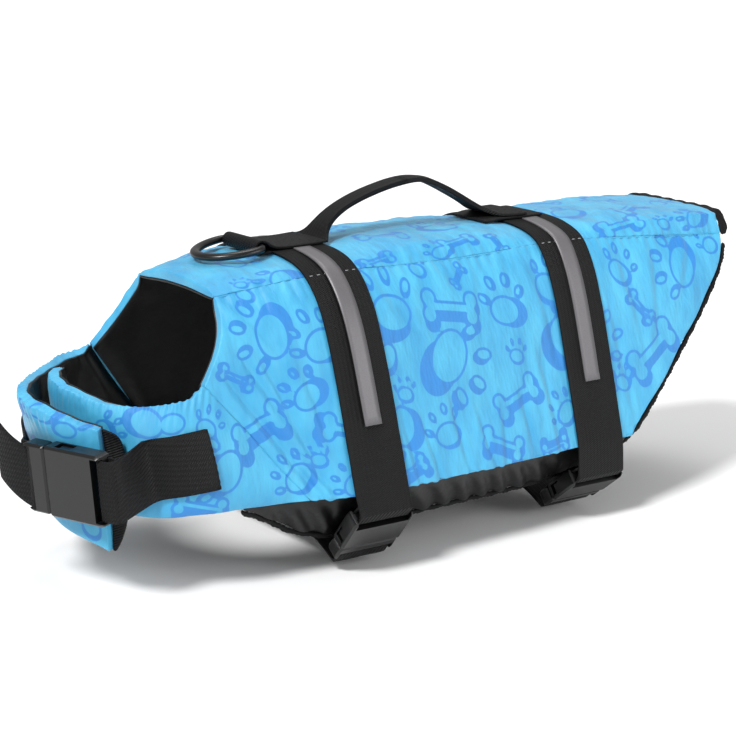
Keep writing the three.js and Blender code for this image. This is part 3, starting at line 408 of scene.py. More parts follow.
sideChart = [
    {"kind": "paw", "at": (-142, -30), "size": 27, "turn": 184, "shade": 52, "amount": 6},
    {"kind": "paw", "at": (-113, -38), "size": 24, "turn": 134, "shade": 0, "amount": 4},
    {"kind": "paw", "at": (-150, -7), "size": 10, "turn": 90, "shade": -30, "amount": 1},
    {"kind": "paw", "at": (-127, -66), "size": 20, "turn": 138, "shade": 22, "amount": 5},
    {"kind": "bone", "at": (-169, -51), "size": 19, "turn": -30, "shade": 180, "amount": 2},
    {"kind": "bone", "at": (-163, -80), "size": 34, "turn": 22, "shade": -70, "amount": 6},
    {"kind": "paw", "at": (-140, -112), "size": 20, "turn": 148, "shade": -20, "amount": 3},
    {"kind": "paw", "at": (-126, -103), "size": 11, "turn": 100, "shade": -60, "amount": 1},
    {"kind": "bone", "at": (-104, -88), "size": 30, "turn": -15, "shade": 180, "amount": 5},
    {"kind": "paw", "at": (-107, -119), "size": 16, "turn": 140, "shade": 0, "amount": 2},
    {"kind": "paw", "at": (-58, -26), "size": 29, "turn": 96, "shade": -115, "amount": 6},
    {"kind": "bone", "at": (-13, -28), "size": 35, "turn": -10, "shade": -85, "amount": 5},
    {"kind": "paw", "at": (-28, -5), "size": 11, "turn": 84, "shade": -40, "amount": 1},
    {"kind": "bone", "at": (0, -11), "size": 14, "turn": 42, "shade": -20, "amount": 1.5},
    {"kind": "paw", "at": (-22, -56), "size": 35, "turn": -24, "shade": -150, "amount": 11},
    {"kind": "paw", "at": (-60, -73), "size": 12, "turn": 88, "shade": -60, "amount": 1},
    {"kind": "paw", "at": (-68, -50), "size": 17, "turn": 170, "shade": -90, "amount": 3},
    {"kind": "paw", "at": (-33, -101), "size": 20, "turn": 112, "shade": -30, "amount": 2},
    {"kind": "paw", "at": (-66, -91), "size": 25, "turn": 190, "shade": -28, "amount": 6},
    {"kind": "bone", "at": (-66, -117), "size": 22, "turn": 20, "shade": -60, "amount": 4},
    {"kind": "bone", "at": (9, -113), "size": 28, "turn": -24, "shade": -100, "amount": 5},
    {"kind": "paw", "at": (29, -35), "size": 24, "turn": 92, "shade": -18, "amount": 6},
    {"kind": "paw", "at": (31, -63), "size": 12, "turn": 84, "shade": -60, "amount": 1},
    {"kind": "bone", "at": (26, -87), "size": 31, "turn": 20, "shade": -55, "amount": 4},
    {"kind": "paw", "at": (66, -103), "size": 18, "turn": 140, "shade": -40, "amount": 2},
    {"kind": "paw", "at": (69, -26), "size": 22, "turn": 60, "shade": -120, "amount": 2},
    {"kind": "paw", "at": (76, -58), "size": 32, "turn": 40, "shade": -155, "amount": 10},
    {"kind": "paw", "at": (98, -66), "size": 28, "turn": 32, "shade": -155, "amount": 4},
    {"kind": "bone", "at": (52, -122), "size": 20, "turn": 10, "shade": 90, "amount": 3},
    {"kind": "paw", "at": (98, -100), "size": 20, "turn": 80, "shade": 180, "amount": 3},
    {"kind": "paw", "at": (131, -23), "size": 19, "turn": 62, "shade": -55, "amount": 2},
    {"kind": "paw", "at": (187, -26), "size": 28, "turn": 176, "shade": 62, "amount": 6},
    {"kind": "bone", "at": (143, -47), "size": 21, "turn": -52, "shade": 178, "amount": 2},
    {"kind": "bone", "at": (147, -74), "size": 38, "turn": 32, "shade": -60, "amount": 4},
    {"kind": "paw", "at": (218, -16), "size": 14, "turn": 120, "shade": 0, "amount": 1},
    {"kind": "paw", "at": (118, -92), "size": 14, "turn": 80, "shade": 0, "amount": 1},
    {"kind": "ring", "at": (-220, -72), "size": 16, "turn": 8, "shade": 0, "amount": 0},
    {"kind": "ring", "at": (-235, -72), "size": 22, "turn": -20, "shade": 175, "amount": 4},
    {"kind": "paw", "at": (-200, -76), "size": 14, "turn": 60, "shade": -90, "amount": 2},
    {"kind": "paw", "at": (-188, -102), "size": 26, "turn": 170, "shade": -160, "amount": 5},
    {"kind": "bone", "at": (-204, -121), "size": 26, "turn": -14, "shade": -90, "amount": 4},
    {"kind": "paw", "at": (-232, -104), "size": 18, "turn": 40, "shade": 0, "amount": 3},
    {"kind": "paw", "at": (-262, -80), "size": 16, "turn": 20, "shade": 0, "amount": 3},
]

backChart = [
    {"kind": "paw", "at": (-123, -58), "size": 21, "turn": 184, "shade": 0, "amount": 7},
    {"kind": "paw", "at": (-149, -53), "size": 9, "turn": 80, "shade": -60, "amount": 1},
    {"kind": "bone", "at": (-52, -54), "size": 22, "turn": 14, "shade": 180, "amount": 3},
    {"kind": "paw", "at": (-4, -55), "size": 15, "turn": 120, "shade": 0, "amount": 2},
    {"kind": "bone", "at": (12, -46), "size": 24, "turn": 12, "shade": -60, "amount": 3},
    {"kind": "bone", "at": (43, -52), "size": 17, "turn": -76, "shade": 180, "amount": 2},
    {"kind": "bone", "at": (148, -51), "size": 32, "turn": 10, "shade": -150, "amount": 4},
    {"kind": "paw", "at": (184, -56), "size": 12, "turn": 80, "shade": -60, "amount": 1},
    {"kind": "paw", "at": (213, -54), "size": 18, "turn": 160, "shade": 0, "amount": 6},
    {"kind": "paw", "at": (-138, -20), "size": 20, "turn": 30, "shade": 90, "amount": 3},
    {"kind": "bone", "at": (-30, -22), "size": 28, "turn": -20, "shade": 90, "amount": 3},
    {"kind": "paw", "at": (20, -16), "size": 24, "turn": 70, "shade": 180, "amount": 4},
    {"kind": "paw", "at": (48, 18), "size": 13, "turn": 200, "shade": 0, "amount": 1},
    {"kind": "paw", "at": (128, -14), "size": 26, "turn": 130, "shade": -90, "amount": 5},
    {"kind": "bone", "at": (176, -22), "size": 30, "turn": 30, "shade": -90, "amount": 4},
    {"kind": "paw", "at": (214, -12), "size": 14, "turn": 20, "shade": 0, "amount": 1},
    {"kind": "bone", "at": (140, 26), "size": 22, "turn": -40, "shade": 90, "amount": 2},
    {"kind": "paw", "at": (186, 22), "size": 20, "turn": 250, "shade": 120, "amount": 4},
    {"kind": "paw", "at": (-40, 26), "size": 18, "turn": 300, "shade": 60, "amount": 3},
    {"kind": "bone", "at": (4, 36), "size": 20, "turn": 60, "shade": 0, "amount": 2},
    {"kind": "paw", "at": (-138, 30), "size": 12, "turn": 140, "shade": 0, "amount": 1},
    {"kind": "paw", "at": (218, 40), "size": 18, "turn": 100, "shade": 180, "amount": 3},
    {"kind": "bone", "at": (-60, 50), "size": 22, "turn": -10, "shade": 90, "amount": 3},
    {"kind": "paw", "at": (40, 54), "size": 20, "turn": 280, "shade": 90, "amount": 4},
    {"kind": "paw", "at": (150, 54), "size": 16, "turn": 240, "shade": 90, "amount": 3},
]

noseChart = [
    {"kind": "ring", "at": (-14, -68), "size": 15, "turn": 10, "shade": 180, "amount": 3},
    {"kind": "paw", "at": (-27, -76), "size": 13, "turn": 110, "shade": 0, "amount": 1},
    {"kind": "bone", "at": (8, -72), "size": 18, "turn": -30, "shade": -90, "amount": 2},
    {"kind": "ring", "at": (-36, -134), "size": 15, "turn": 60, "shade": -90, "amount": 2},
    {"kind": "paw", "at": (-20, -122), "size": 18, "turn": 30, "shade": 180, "amount": 3},
    {"kind": "paw", "at": (14, -104), "size": 24, "turn": 150, "shade": 0, "amount": 5},
    {"kind": "bone", "at": (44, -84), "size": 28, "turn": 26, "shade": -90, "amount": 4},
    {"kind": "paw", "at": (66, -112), "size": 22, "turn": 60, "shade": 180, "amount": 4},
    {"kind": "paw", "at": (84, -76), "size": 15, "turn": 100, "shade": 0, "amount": 2},
    {"kind": "bone", "at": (100, -106), "size": 24, "turn": -50, "shade": 0, "amount": 3},
    {"kind": "paw", "at": (124, -100), "size": 20, "turn": 20, "shade": -90, "amount": 3},
]

motifShape = {
    "line": 1.15, "thinnest": 0.45, "lineGrowth": 40,   # mm, share of it, and mm of size
    "hollowFrom": 1.5,                                  # lines in from the edge
    "boneLong": 1.25, "boneKnob": 0.17, "barShare": 0.62, "lobeShare": 0.8,
    "padLong": 0.5, "padWide": 0.39, "padTurn": 78,     # shares of the size, and degrees
    "toes": ((-56, 0.92), (-19, 1.0), (19, 1.0), (56, 0.92)),   # turn, and share of the reach
    "toeReach": 0.78, "toeLean": 0.7, "toeLong": 0.19, "toeWide": 0.125, "toeShade": 0.3,
    "nearShare": 1.5, "nearRoom": 6,                    # how far out a motif is worked out
    "bare": 50.0,                                       # mm, stands for far from any motif
    "smallestSlope": 1e-6,
}


def turned(points, degrees):
    angle = math.radians(-degrees)
    cosine, sine = math.cos(angle), math.sin(angle)
    x, y = points[:, 0], points[:, 1]
    return np.stack([x * cosine - y * sine, x * sine + y * cosine], 1)


def ovalDistance(points, long, wide):
    near = np.hypot(points[:, 0] / long, points[:, 1] / wide)
    slope = np.hypot(points[:, 0] / long ** 2, points[:, 1] / wide ** 2)
    return near * (near - 1) / np.maximum(slope, motifShape["smallestSlope"])


def boneDistance(points, long, knob):
    half = long / 2 - knob
    along = np.clip(points[:, 0], -half, half)
    bone = np.hypot(points[:, 0] - along, points[:, 1]) - knob * motifShape["barShare"]
    for end in (-1, 1):
        for side in (-1, 1):
            beside = points[:, 1] - side * knob * motifShape["lobeShare"]
            lobe = np.hypot(points[:, 0] - end * half, beside) - knob
            bone = np.minimum(bone, lobe)
    return bone


def motifParts(motif):
    form = motifShape
    size = motif["size"]
    if motif["kind"] == "bone":
        boneLong, knob = size * form["boneLong"], size * form["boneKnob"]
        return [{"at": (0, 0), "turn": 0, "cast": 1, "shape": lambda p: boneDistance(p, boneLong, knob)}]
    padLong, padWide = size * form["padLong"], size * form["padWide"]
    pad = {
        "at": (0, 0), "turn": form["padTurn"], "cast": 1,
        "shape": lambda p: ovalDistance(p, padLong, padWide),
    }
    if motif["kind"] == "ring":
        return [{**pad, "turn": 0}]
    toeLong, toeWide = size * form["toeLong"], size * form["toeWide"]
    parts = [pad]
    for turn, share in form["toes"]:
        angle = math.radians(turn)
        reach = size * form["toeReach"] * share
        parts.append({
            "at": (reach * math.cos(angle), reach * math.sin(angle)),
            "turn": turn * form["toeLean"], "cast": form["toeShade"],
            "shape": lambda p: ovalDistance(p, toeLong, toeWide),
        })
    return parts


# each point gets its distance to the nearest motif's edge, and to that motif's hollow middle

def paintPrint(mesh, chartPlaces, chart):
    form = motifShape
    outer = np.full(len(chartPlaces), form["bare"])
    inner = np.full(len(chartPlaces), form["bare"])
    for motif in chart:
        local = chartPlaces - np.array(motif["at"], float)
        close = np.hypot(local[:, 0], local[:, 1]) < motif["size"] * form["nearShare"] + form["nearRoom"]
        if not close.any():
            continue
        here = turned(local[close], motif["turn"])
        shade = math.radians(motif["shade"] - motif["turn"])
        line = form["line"] * min(1.0, form["thinnest"] + motif["size"] / form["lineGrowth"])
        for part in motifParts(motif):
            offset = np.array([math.cos(shade), math.sin(shade)]) * (motif["amount"] * part["cast"])
            place = here - np.array(part["at"])
            edge = part["shape"](turned(place, part["turn"]))
            whole = np.minimum(edge, part["shape"](turned(place - offset, part["turn"])))
            hollow = edge + line * form["hollowFrom"]
            nearest = whole < outer[close]
            outer[close] = np.where(nearest, whole, outer[close])
            inner[close] = np.where(nearest, hollow, inner[close])
    setValues(mesh, "printOuter", outer)
    setValues(mesh, "printInner", inner)


def paintThreads(mesh, along, across):
    setValues(mesh, "threadAlong", along)
    setValues(mesh, "threadAcross", across)


def faded(distance, reach):
    return np.exp(-np.maximum(distance, 0) / reach)


def between(values, low, high, ease):
    return np.clip((values - low) / ease, 0, 1) * np.clip((high - values) / ease, 0, 1)


def broadWaves(points, length, seed):
    return np.array([
        noise.noise(Vector((x / length + seed, y / length, z / length - seed))) for x, y, z in points
    ])


def puckers(run, pitch, waver, waverLength, lean=0.0):
    return np.sin(run * 2 * np.pi / pitch + waver * np.sin(run / waverLength) + lean)


# folds pressed into the cloth: each a line across the chart with its width and depth, in millimetres

sideFolds = [
    {"from": (-176, -50), "to": (-128, -124), "width": 2.4, "depth": 2.6},
    {"from": (-164, -38), "to": (-132, -96), "width": 2.6, "depth": 2.2},
    {"from": (-152, -40), "to": (-124, -112), "width": 2.2, "depth": 1.8},
    {"from": (-146, -88), "to": (-116, -126), "width": 2.0, "depth": 1.8},
    {"from": (-128, -48), "to": (-116, -100), "width": 2.4, "depth": 1.3},
    {"from": (-162, -8), "to": (-140, -40), "width": 2.6, "depth": 1.0},
    {"from": (-66, -70), "to": (-60, -126), "width": 2.2, "depth": 1.7},
    {"from": (-50, -88), "to": (-44, -126), "width": 1.9, "depth": 1.6},
    {"from": (-26, -78), "to": (-20, -126), "width": 2.3, "depth": 1.5},
    {"from": (-6, -90), "to": (0, -126), "width": 2.0, "depth": 1.6},
    {"from": (14, -96), "to": (10, -126), "width": 2.0, "depth": 1.3},
    {"from": (30, -84), "to": (36, -126), "width": 2.4, "depth": 1.5},
    {"from": (52, -64), "to": (58, -126), "width": 2.6, "depth": 1.7},
    {"from": (60, -12), "to": (66, -66), "width": 2.6, "depth": 1.3},
    {"from": (-60, -10), "to": (-40, -42), "width": 2.8, "depth": 0.9},
    {"from": (20, -6), "to": (6, -44), "width": 3.0, "depth": 0.8},
    {"from": (116, -30), "to": (124, -104), "width": 2.6, "depth": 1.5},
    {"from": (134, -10), "to": (140, -60), "width": 2.8, "depth": 1.1},
    {"from": (166, -10), "to": (152, -76), "width": 2.8, "depth": 1.2},
    {"from": (200, -12), "to": (180, -48), "width": 2.8, "depth": 1.2},
]

foldShape = {
    "fadeShare": 0.9, "fadeStart": 0.05,                    # how a fold runs out at its ends
    "ridge": 0.75, "ridgeAway": 2.3, "ridgeWidth": 1.4,     # shares of a fold's depth and width
    "ridgeReach": 6,
}


def foldDepth(chartPlaces, folds):
    form = foldShape
    total = np.zeros(len(chartPlaces))
    for fold in folds:
        width = fold["width"]
        start, end = np.array(fold["from"], float), np.array(fold["to"], float)
        run = end - start
        along = np.clip(((chartPlaces - start) @ run) / (run @ run), 0, 1)
        gap = chartPlaces - start - along[:, None] * run
        away = np.linalg.norm(gap, axis=1)
        beside = (gap @ np.array([run[1], -run[0]])) / np.linalg.norm(run)
        fade = np.sin(np.pi * (along * form["fadeShare"] + form["fadeStart"])) ** 0.5
        ridgeTurn = (beside - form["ridgeAway"] * width) / (form["ridgeWidth"] * width)
        ridge = form["ridge"] * np.exp(-(ridgeTurn ** 2))
        crease = np.exp(-((away / width) ** 2))
        total += fold["depth"] * fade * (crease - ridge * (away < form["ridgeReach"] * width))
    return total


strapPlaces = {"half": 20.5, "ease": 3, "middles": (-90, 90), "pressed": 0.35}   # mm


def underStrap(x):
    cover = np.zeros(len(x))
    for middle in strapPlaces["middles"]:
        inside = strapPlaces["half"] + strapPlaces["ease"] - np.abs(x - middle)
        cover = np.maximum(cover, np.clip(inside / strapPlaces["ease"], 0, 1))
    return cover


sideRelief = {
    "finest": 18,                                   # mm between points along the panel
    "facing": 0.05,                                 # how far outwards a point has to face
    "mirrorAt": 34,                                 # turns the left side's chart round for the right
    "fold": 1.0, "rightShare": 0.94,
    "broad": 1.3, "broadLength": 34, "broadLift": 0.25, "broadSeed": {"left": 3, "right": 9},
    "puckerPitch": 7.5, "waver": 1.4, "waverLength": 11,
    "topPucker": 0.5, "topAt": -3, "topBand": 2, "topReach": 6,
    "hemPucker": 0.35, "hemAt": -124, "hemReach": 7,
    "highest": 2.2, "deepest": 4.0,
}


def dressSide(sideName):
    relief = sideRelief
    isNear = sideName == "left"
    mesh = softened(f"side_panel_{sideName}", 3, longest=relief["finest"] * mm)
    points, normals = pointsOf(mesh), normalsOf(mesh)
    x, height = points[:, 0], points[:, 2]
    isOuter = normals[:, 1] * (-1 if isNear else 1) > relief["facing"]
    chartPlaces = points[:, [0, 2]].copy()
    if not isNear:
        chartPlaces[:, 0] = relief["mirrorAt"] - chartPlaces[:, 0]
    foldPlaces = points[:, [0, 2]] * [1 if isNear else relief["rightShare"], 1]
    depth = relief["fold"] * foldDepth(foldPlaces, sideFolds)
    broad = broadWaves(points, relief["broadLength"], relief["broadSeed"][sideName])
    depth += relief["broad"] * (broad + relief["broadLift"])
    ripple = puckers(x, relief["puckerPitch"], relief["waver"], relief["waverLength"])
    nearTop = faded(np.abs(height - relief["topAt"]) - relief["topBand"], relief["topReach"])
    depth += relief["topPucker"] * ripple * nearTop
    depth += relief["hemPucker"] * ripple * faded(height - relief["hemAt"], relief["hemReach"])
    cover = underStrap(x)
    depth = depth * (1 - cover) + strapPlaces["pressed"] * cover
    away = np.where(isOuter, -np.clip(depth, -relief["highest"], relief["deepest"]), 0)
    setPoints(mesh, points + normals * away[:, None])
    paintPrint(mesh, chartPlaces, sideChart)
    paintThreads(mesh, x, height)
    made = addPiece(mesh, f"dressed_side_{sideName}", slot="printed_cloth", stands=[f"side_panel_{sideName}"])


backRelief = {
    "finest": 18, "facing": 0.05,
    "crown": 9.5, "crownShare": 0.8,                # how the chart runs on down the sides
    "broad": 1.3, "broadLength": 26, "broadLift": 0.3, "broadSeed": 5,
    "quilt": 0.7, "quiltLength": 7, "quiltSeed": 12,
    "pucker": 0.5, "puckerPitch": 7.0, "waver": 1.7, "waverLength": 9,
    "seamAt": 52, "seamReach": 7,
    "highest": 0.9,
    "webbingHalf": 21, "webbingEase": 2, "webbingEndEase": 4,
    "webbingRuns": ((-126, -62), (50, 108)),        # under the ring's tab and the rear patch
}


def dressBack():
    relief = backRelief
    mesh = softened("back_panel", 3, longest=relief["finest"] * mm)
    points, normals = pointsOf(mesh), normalsOf(mesh)
    x, y, height = points[:, 0], points[:, 1], points[:, 2]
    isOuter = normals[:, 2] > relief["facing"]
    across = np.abs(y) + np.maximum(relief["crown"] - height, 0) * relief["crownShare"]
    chartPlaces = np.stack([x, across * np.sign(y)], 1)
    ripple = puckers(x, relief["puckerPitch"], relief["waver"], relief["waverLength"])
    depth = relief["pucker"] * ripple * faded(relief["seamAt"] - np.abs(y), relief["seamReach"])
    broad = broadWaves(points, relief["broadLength"], relief["broadSeed"])
    depth += relief["broad"] * (broad + relief["broadLift"])
    depth += relief["quilt"] * broadWaves(points, relief["quiltLength"], relief["quiltSeed"])
    cover = underStrap(x)
    underWebbing = between(y, -relief["webbingHalf"], relief["webbingHalf"], relief["webbingEase"])
    for low, high in relief["webbingRuns"]:
        cover = np.maximum(cover, underWebbing * between(x, low, high, relief["webbingEndEase"]))
    depth = depth * (1 - cover) + strapPlaces["pressed"] * cover
    away = np.where(isOuter, -np.maximum(depth, -relief["highest"]), 0)
    setPoints(mesh, points + normals * away[:, None])
    paintPrint(mesh, chartPlaces, backChart)
    paintThreads(mesh, x, y)
    made = addPiece(mesh, "dressed_back", slot="printed_cloth", stands=["back_panel"])


flapRelief = {
    "centreX": -150.0, "radius": 95.0, "strapRadius": 105,  # the round that the chest makes
    "facing": 0.02,
    "broad": 1.0, "broadLength": 22,
    "gather": 0.55, "gatherPitch": 4.6, "gatherBand": 4, "gatherReach": 6.0,
    "waver": 1.2, "waverLength": 13, "lean": 0.12,
    "seamX": -160, "seamEase": 30,
    "highest": 0.8,
    "left": {"seed": 15, "rim": -58, "dip": 3, "dipTurns": 1.0},
    "right": {"seed": 21, "rim": -62, "dip": 6, "dipTurns": 1.6},
}


def roundChest(points):
    return np.arctan2(points[:, 1], -(points[:, 0] - flapRelief["centreX"]))


def dressFlap(sideName):
    relief, own = flapRelief, flapRelief[sideName]
    isNear = sideName == "left"
    mesh = softened(f"chest_flap_{sideName}", 3)
    points, normals = pointsOf(mesh), normalsOf(mesh)
    height = points[:, 2]
    angle = roundChest(points)
    radial = np.stack([-np.cos(angle), np.sin(angle)], 1)
    isOuter = (normals[:, :2] * radial).sum(1) > relief["facing"]
    arc = angle * relief["radius"]
    chartX = relief["centreX"] - (math.pi / 2 * relief["radius"] + arc) if isNear else arc
    rimHeight = own["rim"] - own["dip"] * np.cos(angle * own["dipTurns"])
    nearRim = faded(np.abs(rimHeight - height) - relief["gatherBand"], relief["gatherReach"])
    ripple = puckers(
        arc, relief["gatherPitch"], relief["waver"], relief["waverLength"], height * relief["lean"])
    fromSeam = np.clip((relief["seamX"] - points[:, 0]) / relief["seamEase"], 0, 1)
    depth = relief["gather"] * ripple * nearRim * fromSeam
    depth += relief["broad"] * broadWaves(points, relief["broadLength"], own["seed"])
    away = np.where(isOuter, -np.maximum(depth, -relief["highest"]), 0)
    setPoints(mesh, points + normals * away[:, None])
    paintPrint(mesh, np.stack([chartX, height], 1), sideChart if isNear else noseChart)
    paintThreads(mesh, arc, height)
    made = addPiece(mesh, f"dressed_flap_{sideName}", slot="printed_cloth", stands=[f"chest_flap_{sideName}"])


for sideName in ("left", "right"):
    dressSide(sideName)
    dressFlap(sideName)
dressBack()
print("printed panels dressed")


liningRelief = {
    "middle": (-20.0, 0.0, -70.0),                  # the lining's inner side faces this point
    "fold": 0.9, "foldLength": 18, "seed": 31,
    "inwards": 0.9, "outwards": 0.7,
}
# the slanting seam of each chest flap, where its lining runs on a little under the side's lining
seamLine = {"topX": -191, "topZ": -52, "slope": 0.77, "reach": 4, "overlap": 1.1}


def dressLining(nodeName):
    relief = liningRelief
    mesh = softened(nodeName, 2, crease=1.0)
    points, normals = pointsOf(mesh), normalsOf(mesh)
    isInner = ((np.array(relief["middle"]) - points) * normals).sum(1) > 0
    depth = relief["fold"] * broadWaves(points, relief["foldLength"], relief["seed"])
    away = np.where(isInner, np.clip(depth, -relief["outwards"], relief["inwards"]), 0)
    if nodeName.startswith("chest"):
        seamX = seamLine["topX"] + (seamLine["topZ"] - points[:, 2]) * seamLine["slope"]
        points[:, 0] += seamLine["overlap"] * (np.abs(points[:, 0] - seamX) < seamLine["reach"])
    setPoints(mesh, points + normals * away[:, None])
    paintThreads(mesh, points[:, 0], points[:, 2])
    addPiece(mesh, "dressed_" + nodeName, slot="black_lining", stands=[nodeName])


for nodeName in ("back_lining", "side_lining_left", "side_lining_right",
                 "chest_lining_left", "chest_lining_right"):
    dressLining(nodeName)
print("linings dressed")


bellyRelief = {
    "finest": 20,
    "hem": -127, "hemEase": 9,
    "fold": 1.3, "pitch": 17.0, "lean": 0.9, "waverLength": 21,
    "ends": (-176, 118), "endEase": 20,
    "strapHold": 0.8,
    "sideways": 0.8, "down": 0.6,
}


def dressBellyFlap(sideName):
    relief = bellyRelief
    mesh = softened(f"belly_flap_{sideName}", 3, longest=relief["finest"] * mm)
    points = pointsOf(mesh)
    x = points[:, 0]
    way = -1 if sideName == "left" else 1
    below = relief["hem"] - points[:, 2]
    phase = (x - below * relief["lean"]) * 2 * np.pi / relief["pitch"]
    fromHem = np.clip(below / relief["hemEase"], 0, 1)
    depth = relief["fold"] * np.sin(phase + np.sin(x / relief["waverLength"])) * fromHem
    depth *= between(x, *relief["ends"], relief["endEase"])
    depth *= 1 - relief["strapHold"] * underStrap(x)
    shift = np.stack([np.zeros(len(depth)), way * relief["sideways"] * depth, -relief["down"] * depth], 1)
    setPoints(mesh, points + shift)
    paintThreads(mesh, x, points[:, 2])
    addPiece(mesh, f"dressed_belly_flap_{sideName}", slot="black_lining", stands=[f"belly_flap_{sideName}"])


# gathers of the elastic: runs says how much of y and z adds to the way along it
elasticRelief = {
    "edge": {"pitch": 2.9, "depth": 0.22, "runs": (0, 0.5)},
    "tail": {"pitch": 3.4, "depth": 0.25, "runs": (1, 0)},
    "waverLength": 9,
}


def dressElastic(nodeName, gathers):
    mesh = softened(nodeName, 2, sharp=180)
    points, normals = pointsOf(mesh), normalsOf(mesh)
    shareY, shareZ = gathers["runs"]
    run = points[:, 0] + shareY * points[:, 1] + shareZ * points[:, 2]
    away = gathers["depth"] * puckers(run, gathers["pitch"], 1, elasticRelief["waverLength"])
    setPoints(mesh, points + normals * away[:, None])
    paintThreads(mesh, run, points[:, 2])
    addPiece(mesh, "dressed_" + nodeName, slot="elastic_edge", stands=[nodeName])


for sideName in ("left", "right"):
    dressBellyFlap(sideName)
    dressElastic(f"edge_binding_{sideName}", elasticRelief["edge"])
dressElastic("tail_binding", elasticRelief["tail"])
print("belly flaps and elastic dressed")


# straps and webbing pieces: along and across say how the threads run on each

def aroundTrunk(points):
    return np.abs(points[:, 1]) - points[:, 2]


def aroundChest(points):
    return roundChest(points) * flapRelief["strapRadius"]


def overHandle(points):
    return points[:, 0] + points[:, 2] * np.sign(-points[:, 0])


webbingPieces = {
    "belly_strap_front": {"along": aroundTrunk, "across": lambda p: p[:, 0]},
    "belly_strap_rear": {"along": aroundTrunk, "across": lambda p: p[:, 0]},
    "ring_tab": {"along": lambda p: p[:, 0] + p[:, 2], "across": lambda p: p[:, 1]},
    "rear_patch": {"along": lambda p: p[:, 0], "across": lambda p: p[:, 1]},
    "handle": {"along": overHandle, "across": lambda p: p[:, 1]},
    "chest_strap_left": {"along": aroundChest, "across": lambda p: p[:, 2]},
    "chest_strap_right": {"along": aroundChest, "across": lambda p: p[:, 2]},
    "flap_fastener": {"along": lambda p: p[:, 2], "across": lambda p: p[:, 1]},
}
webbingRelief = {"waver": 0.22, "waverLength": 14, "seed": 40, "most": 0.12}


def dressWebbing(nodeName, threads):
    relief = webbingRelief
    mesh = softened(nodeName, 2, sharp=50, crease=0.9)
    points, normals = pointsOf(mesh), normalsOf(mesh)
    waver = relief["waver"] * broadWaves(points, relief["waverLength"], relief["seed"])
    setPoints(mesh, points + normals * np.clip(waver, -relief["most"], relief["most"])[:, None])
    paintThreads(mesh, threads["along"](points), threads["across"](points))
    addPiece(mesh, "dressed_" + nodeName, slot="webbing", stands=[nodeName])


for nodeName, threads in webbingPieces.items():
    dressWebbing(nodeName, threads)
for nodeName in ("tape_front_left", "tape_front_right", "tape_rear_left", "tape_rear_right"):
    tapeMesh = softened(nodeName, 2, sharp=50, crease=1.0)
    addPiece(tapeMesh, "dressed_" + nodeName, slot="reflective_tape", stands=[nodeName])
print("webbing dressed")


# hard pieces

buckleForm = {"flat": 1, "bevel": 0.55 * mm, "segments": 3, "sharp": 30}   # angles in degrees


def dressBuckle(nodeName):
    bm = solidCopy(nodeName)
    bmesh.ops.dissolve_limit(
        bm, angle_limit=math.radians(buckleForm["flat"]), verts=bm.verts, edges=bm.edges)
    bmesh.ops.bevel(
        bm, geom=foldedEdges(bm, buckleForm["sharp"]), offset=buckleForm["bevel"], offset_type="OFFSET",
        segments=buckleForm["segments"], profile=0.5, affect="EDGES", clamp_overlap=True, material=-1)
    mesh = bpy.data.meshes.new(nodeName)
    bm.to_mesh(mesh)
    bm.free()
    for polygon in mesh.polygons:
        polygon.use_smooth = True
    made = addPiece(mesh, "dressed_" + nodeName, slot="moulded_plastic", stands=[nodeName])
    shading = made.modifiers.new("even shading", "WEIGHTED_NORMAL")
    shading.keep_sharp = True


for nodeName in ("belly_buckle_socket_front", "belly_buckle_plug_front", "belly_buckle_socket_rear",
                 "belly_buckle_plug_rear", "chest_buckle_socket", "chest_buckle_plug"):
    dressBuckle(nodeName)
ringMesh = softened("leash_ring", 2, sharp=180)
addPiece(ringMesh, "dressed_leash_ring", body="ring", slot="moulded_plastic", stands=["leash_ring"])
print("buckles and ring dressed")


# stitching: short pointed threads laid along lines of points, in millimetres

threadForm = {
    "length": 2.6, "gap": 1.2, "lift": 0.05,
    "proud": 0.4, "shoulder": 0.6, "tall": 0.8,     # shares of the radius, half length and radius
}
# a thread's faces: three at each end, three along it
threadFaces = (
    (0, 1, 3), (0, 3, 2), (0, 2, 1), (4, 7, 5), (4, 6, 7), (4, 5, 6),
    (1, 5, 7, 3), (3, 7, 6, 2), (2, 6, 5, 1),
)


def threadsAlong(bm, line, outwards, radius):
    form = threadForm
    for start, end, out in zip(line[:-1], line[1:], outwards):
        run = (end - start).length
        count = max(1, round(run / (form["length"] + form["gap"])))
        way = (end - start).normalized()
        for index in range(count):
            middle = start.lerp(end, (index + 0.5) / count) + out * radius * form["proud"]
            half = way * (form["length"] / 2)
            shoulder = half * form["shoulder"]
            side = way.cross(out).normalized() * radius
            tall = out * radius * form["tall"]
            places = [
                middle - half, middle - shoulder + side, middle - shoulder - side, middle - shoulder + tall,
                middle + half, middle + shoulder + side, middle + shoulder - side, middle + shoulder + tall,
            ]
            corners = [bm.verts.new(place * mm) for place in places]
            for face in threadFaces:
                bm.faces.new([corners[number] for number in face])


def onPiece(name, place):
    _, near, normal, _ = bpy.data.objects[name].closest_point_on_mesh(Vector(place) * mm)
    return near / mm + normal * threadForm["lift"], normal


def sewLines(name, on, lines, material, radius=0.22, step=5.0):
    bm = bmesh.new()
    for corners in lines:
        places = []
        for start, end in zip(corners[:-1], corners[1:]):
            start, end = Vector(start), Vector(end)
            count = max(1, round((end - start).length / step))
            places += [start.lerp(end, index / count) for index in range(count)]
        places.append(Vector(corners[-1]))
        laid = [onPiece(on, place) for place in places]
        threadsAlong(bm, [spot for spot, _ in laid], [normal for _, normal in laid], radius)
    mesh = bpy.data.meshes.new(name)
    bm.to_mesh(mesh)
    bm.free()
    addPiece(mesh, name, material=material)


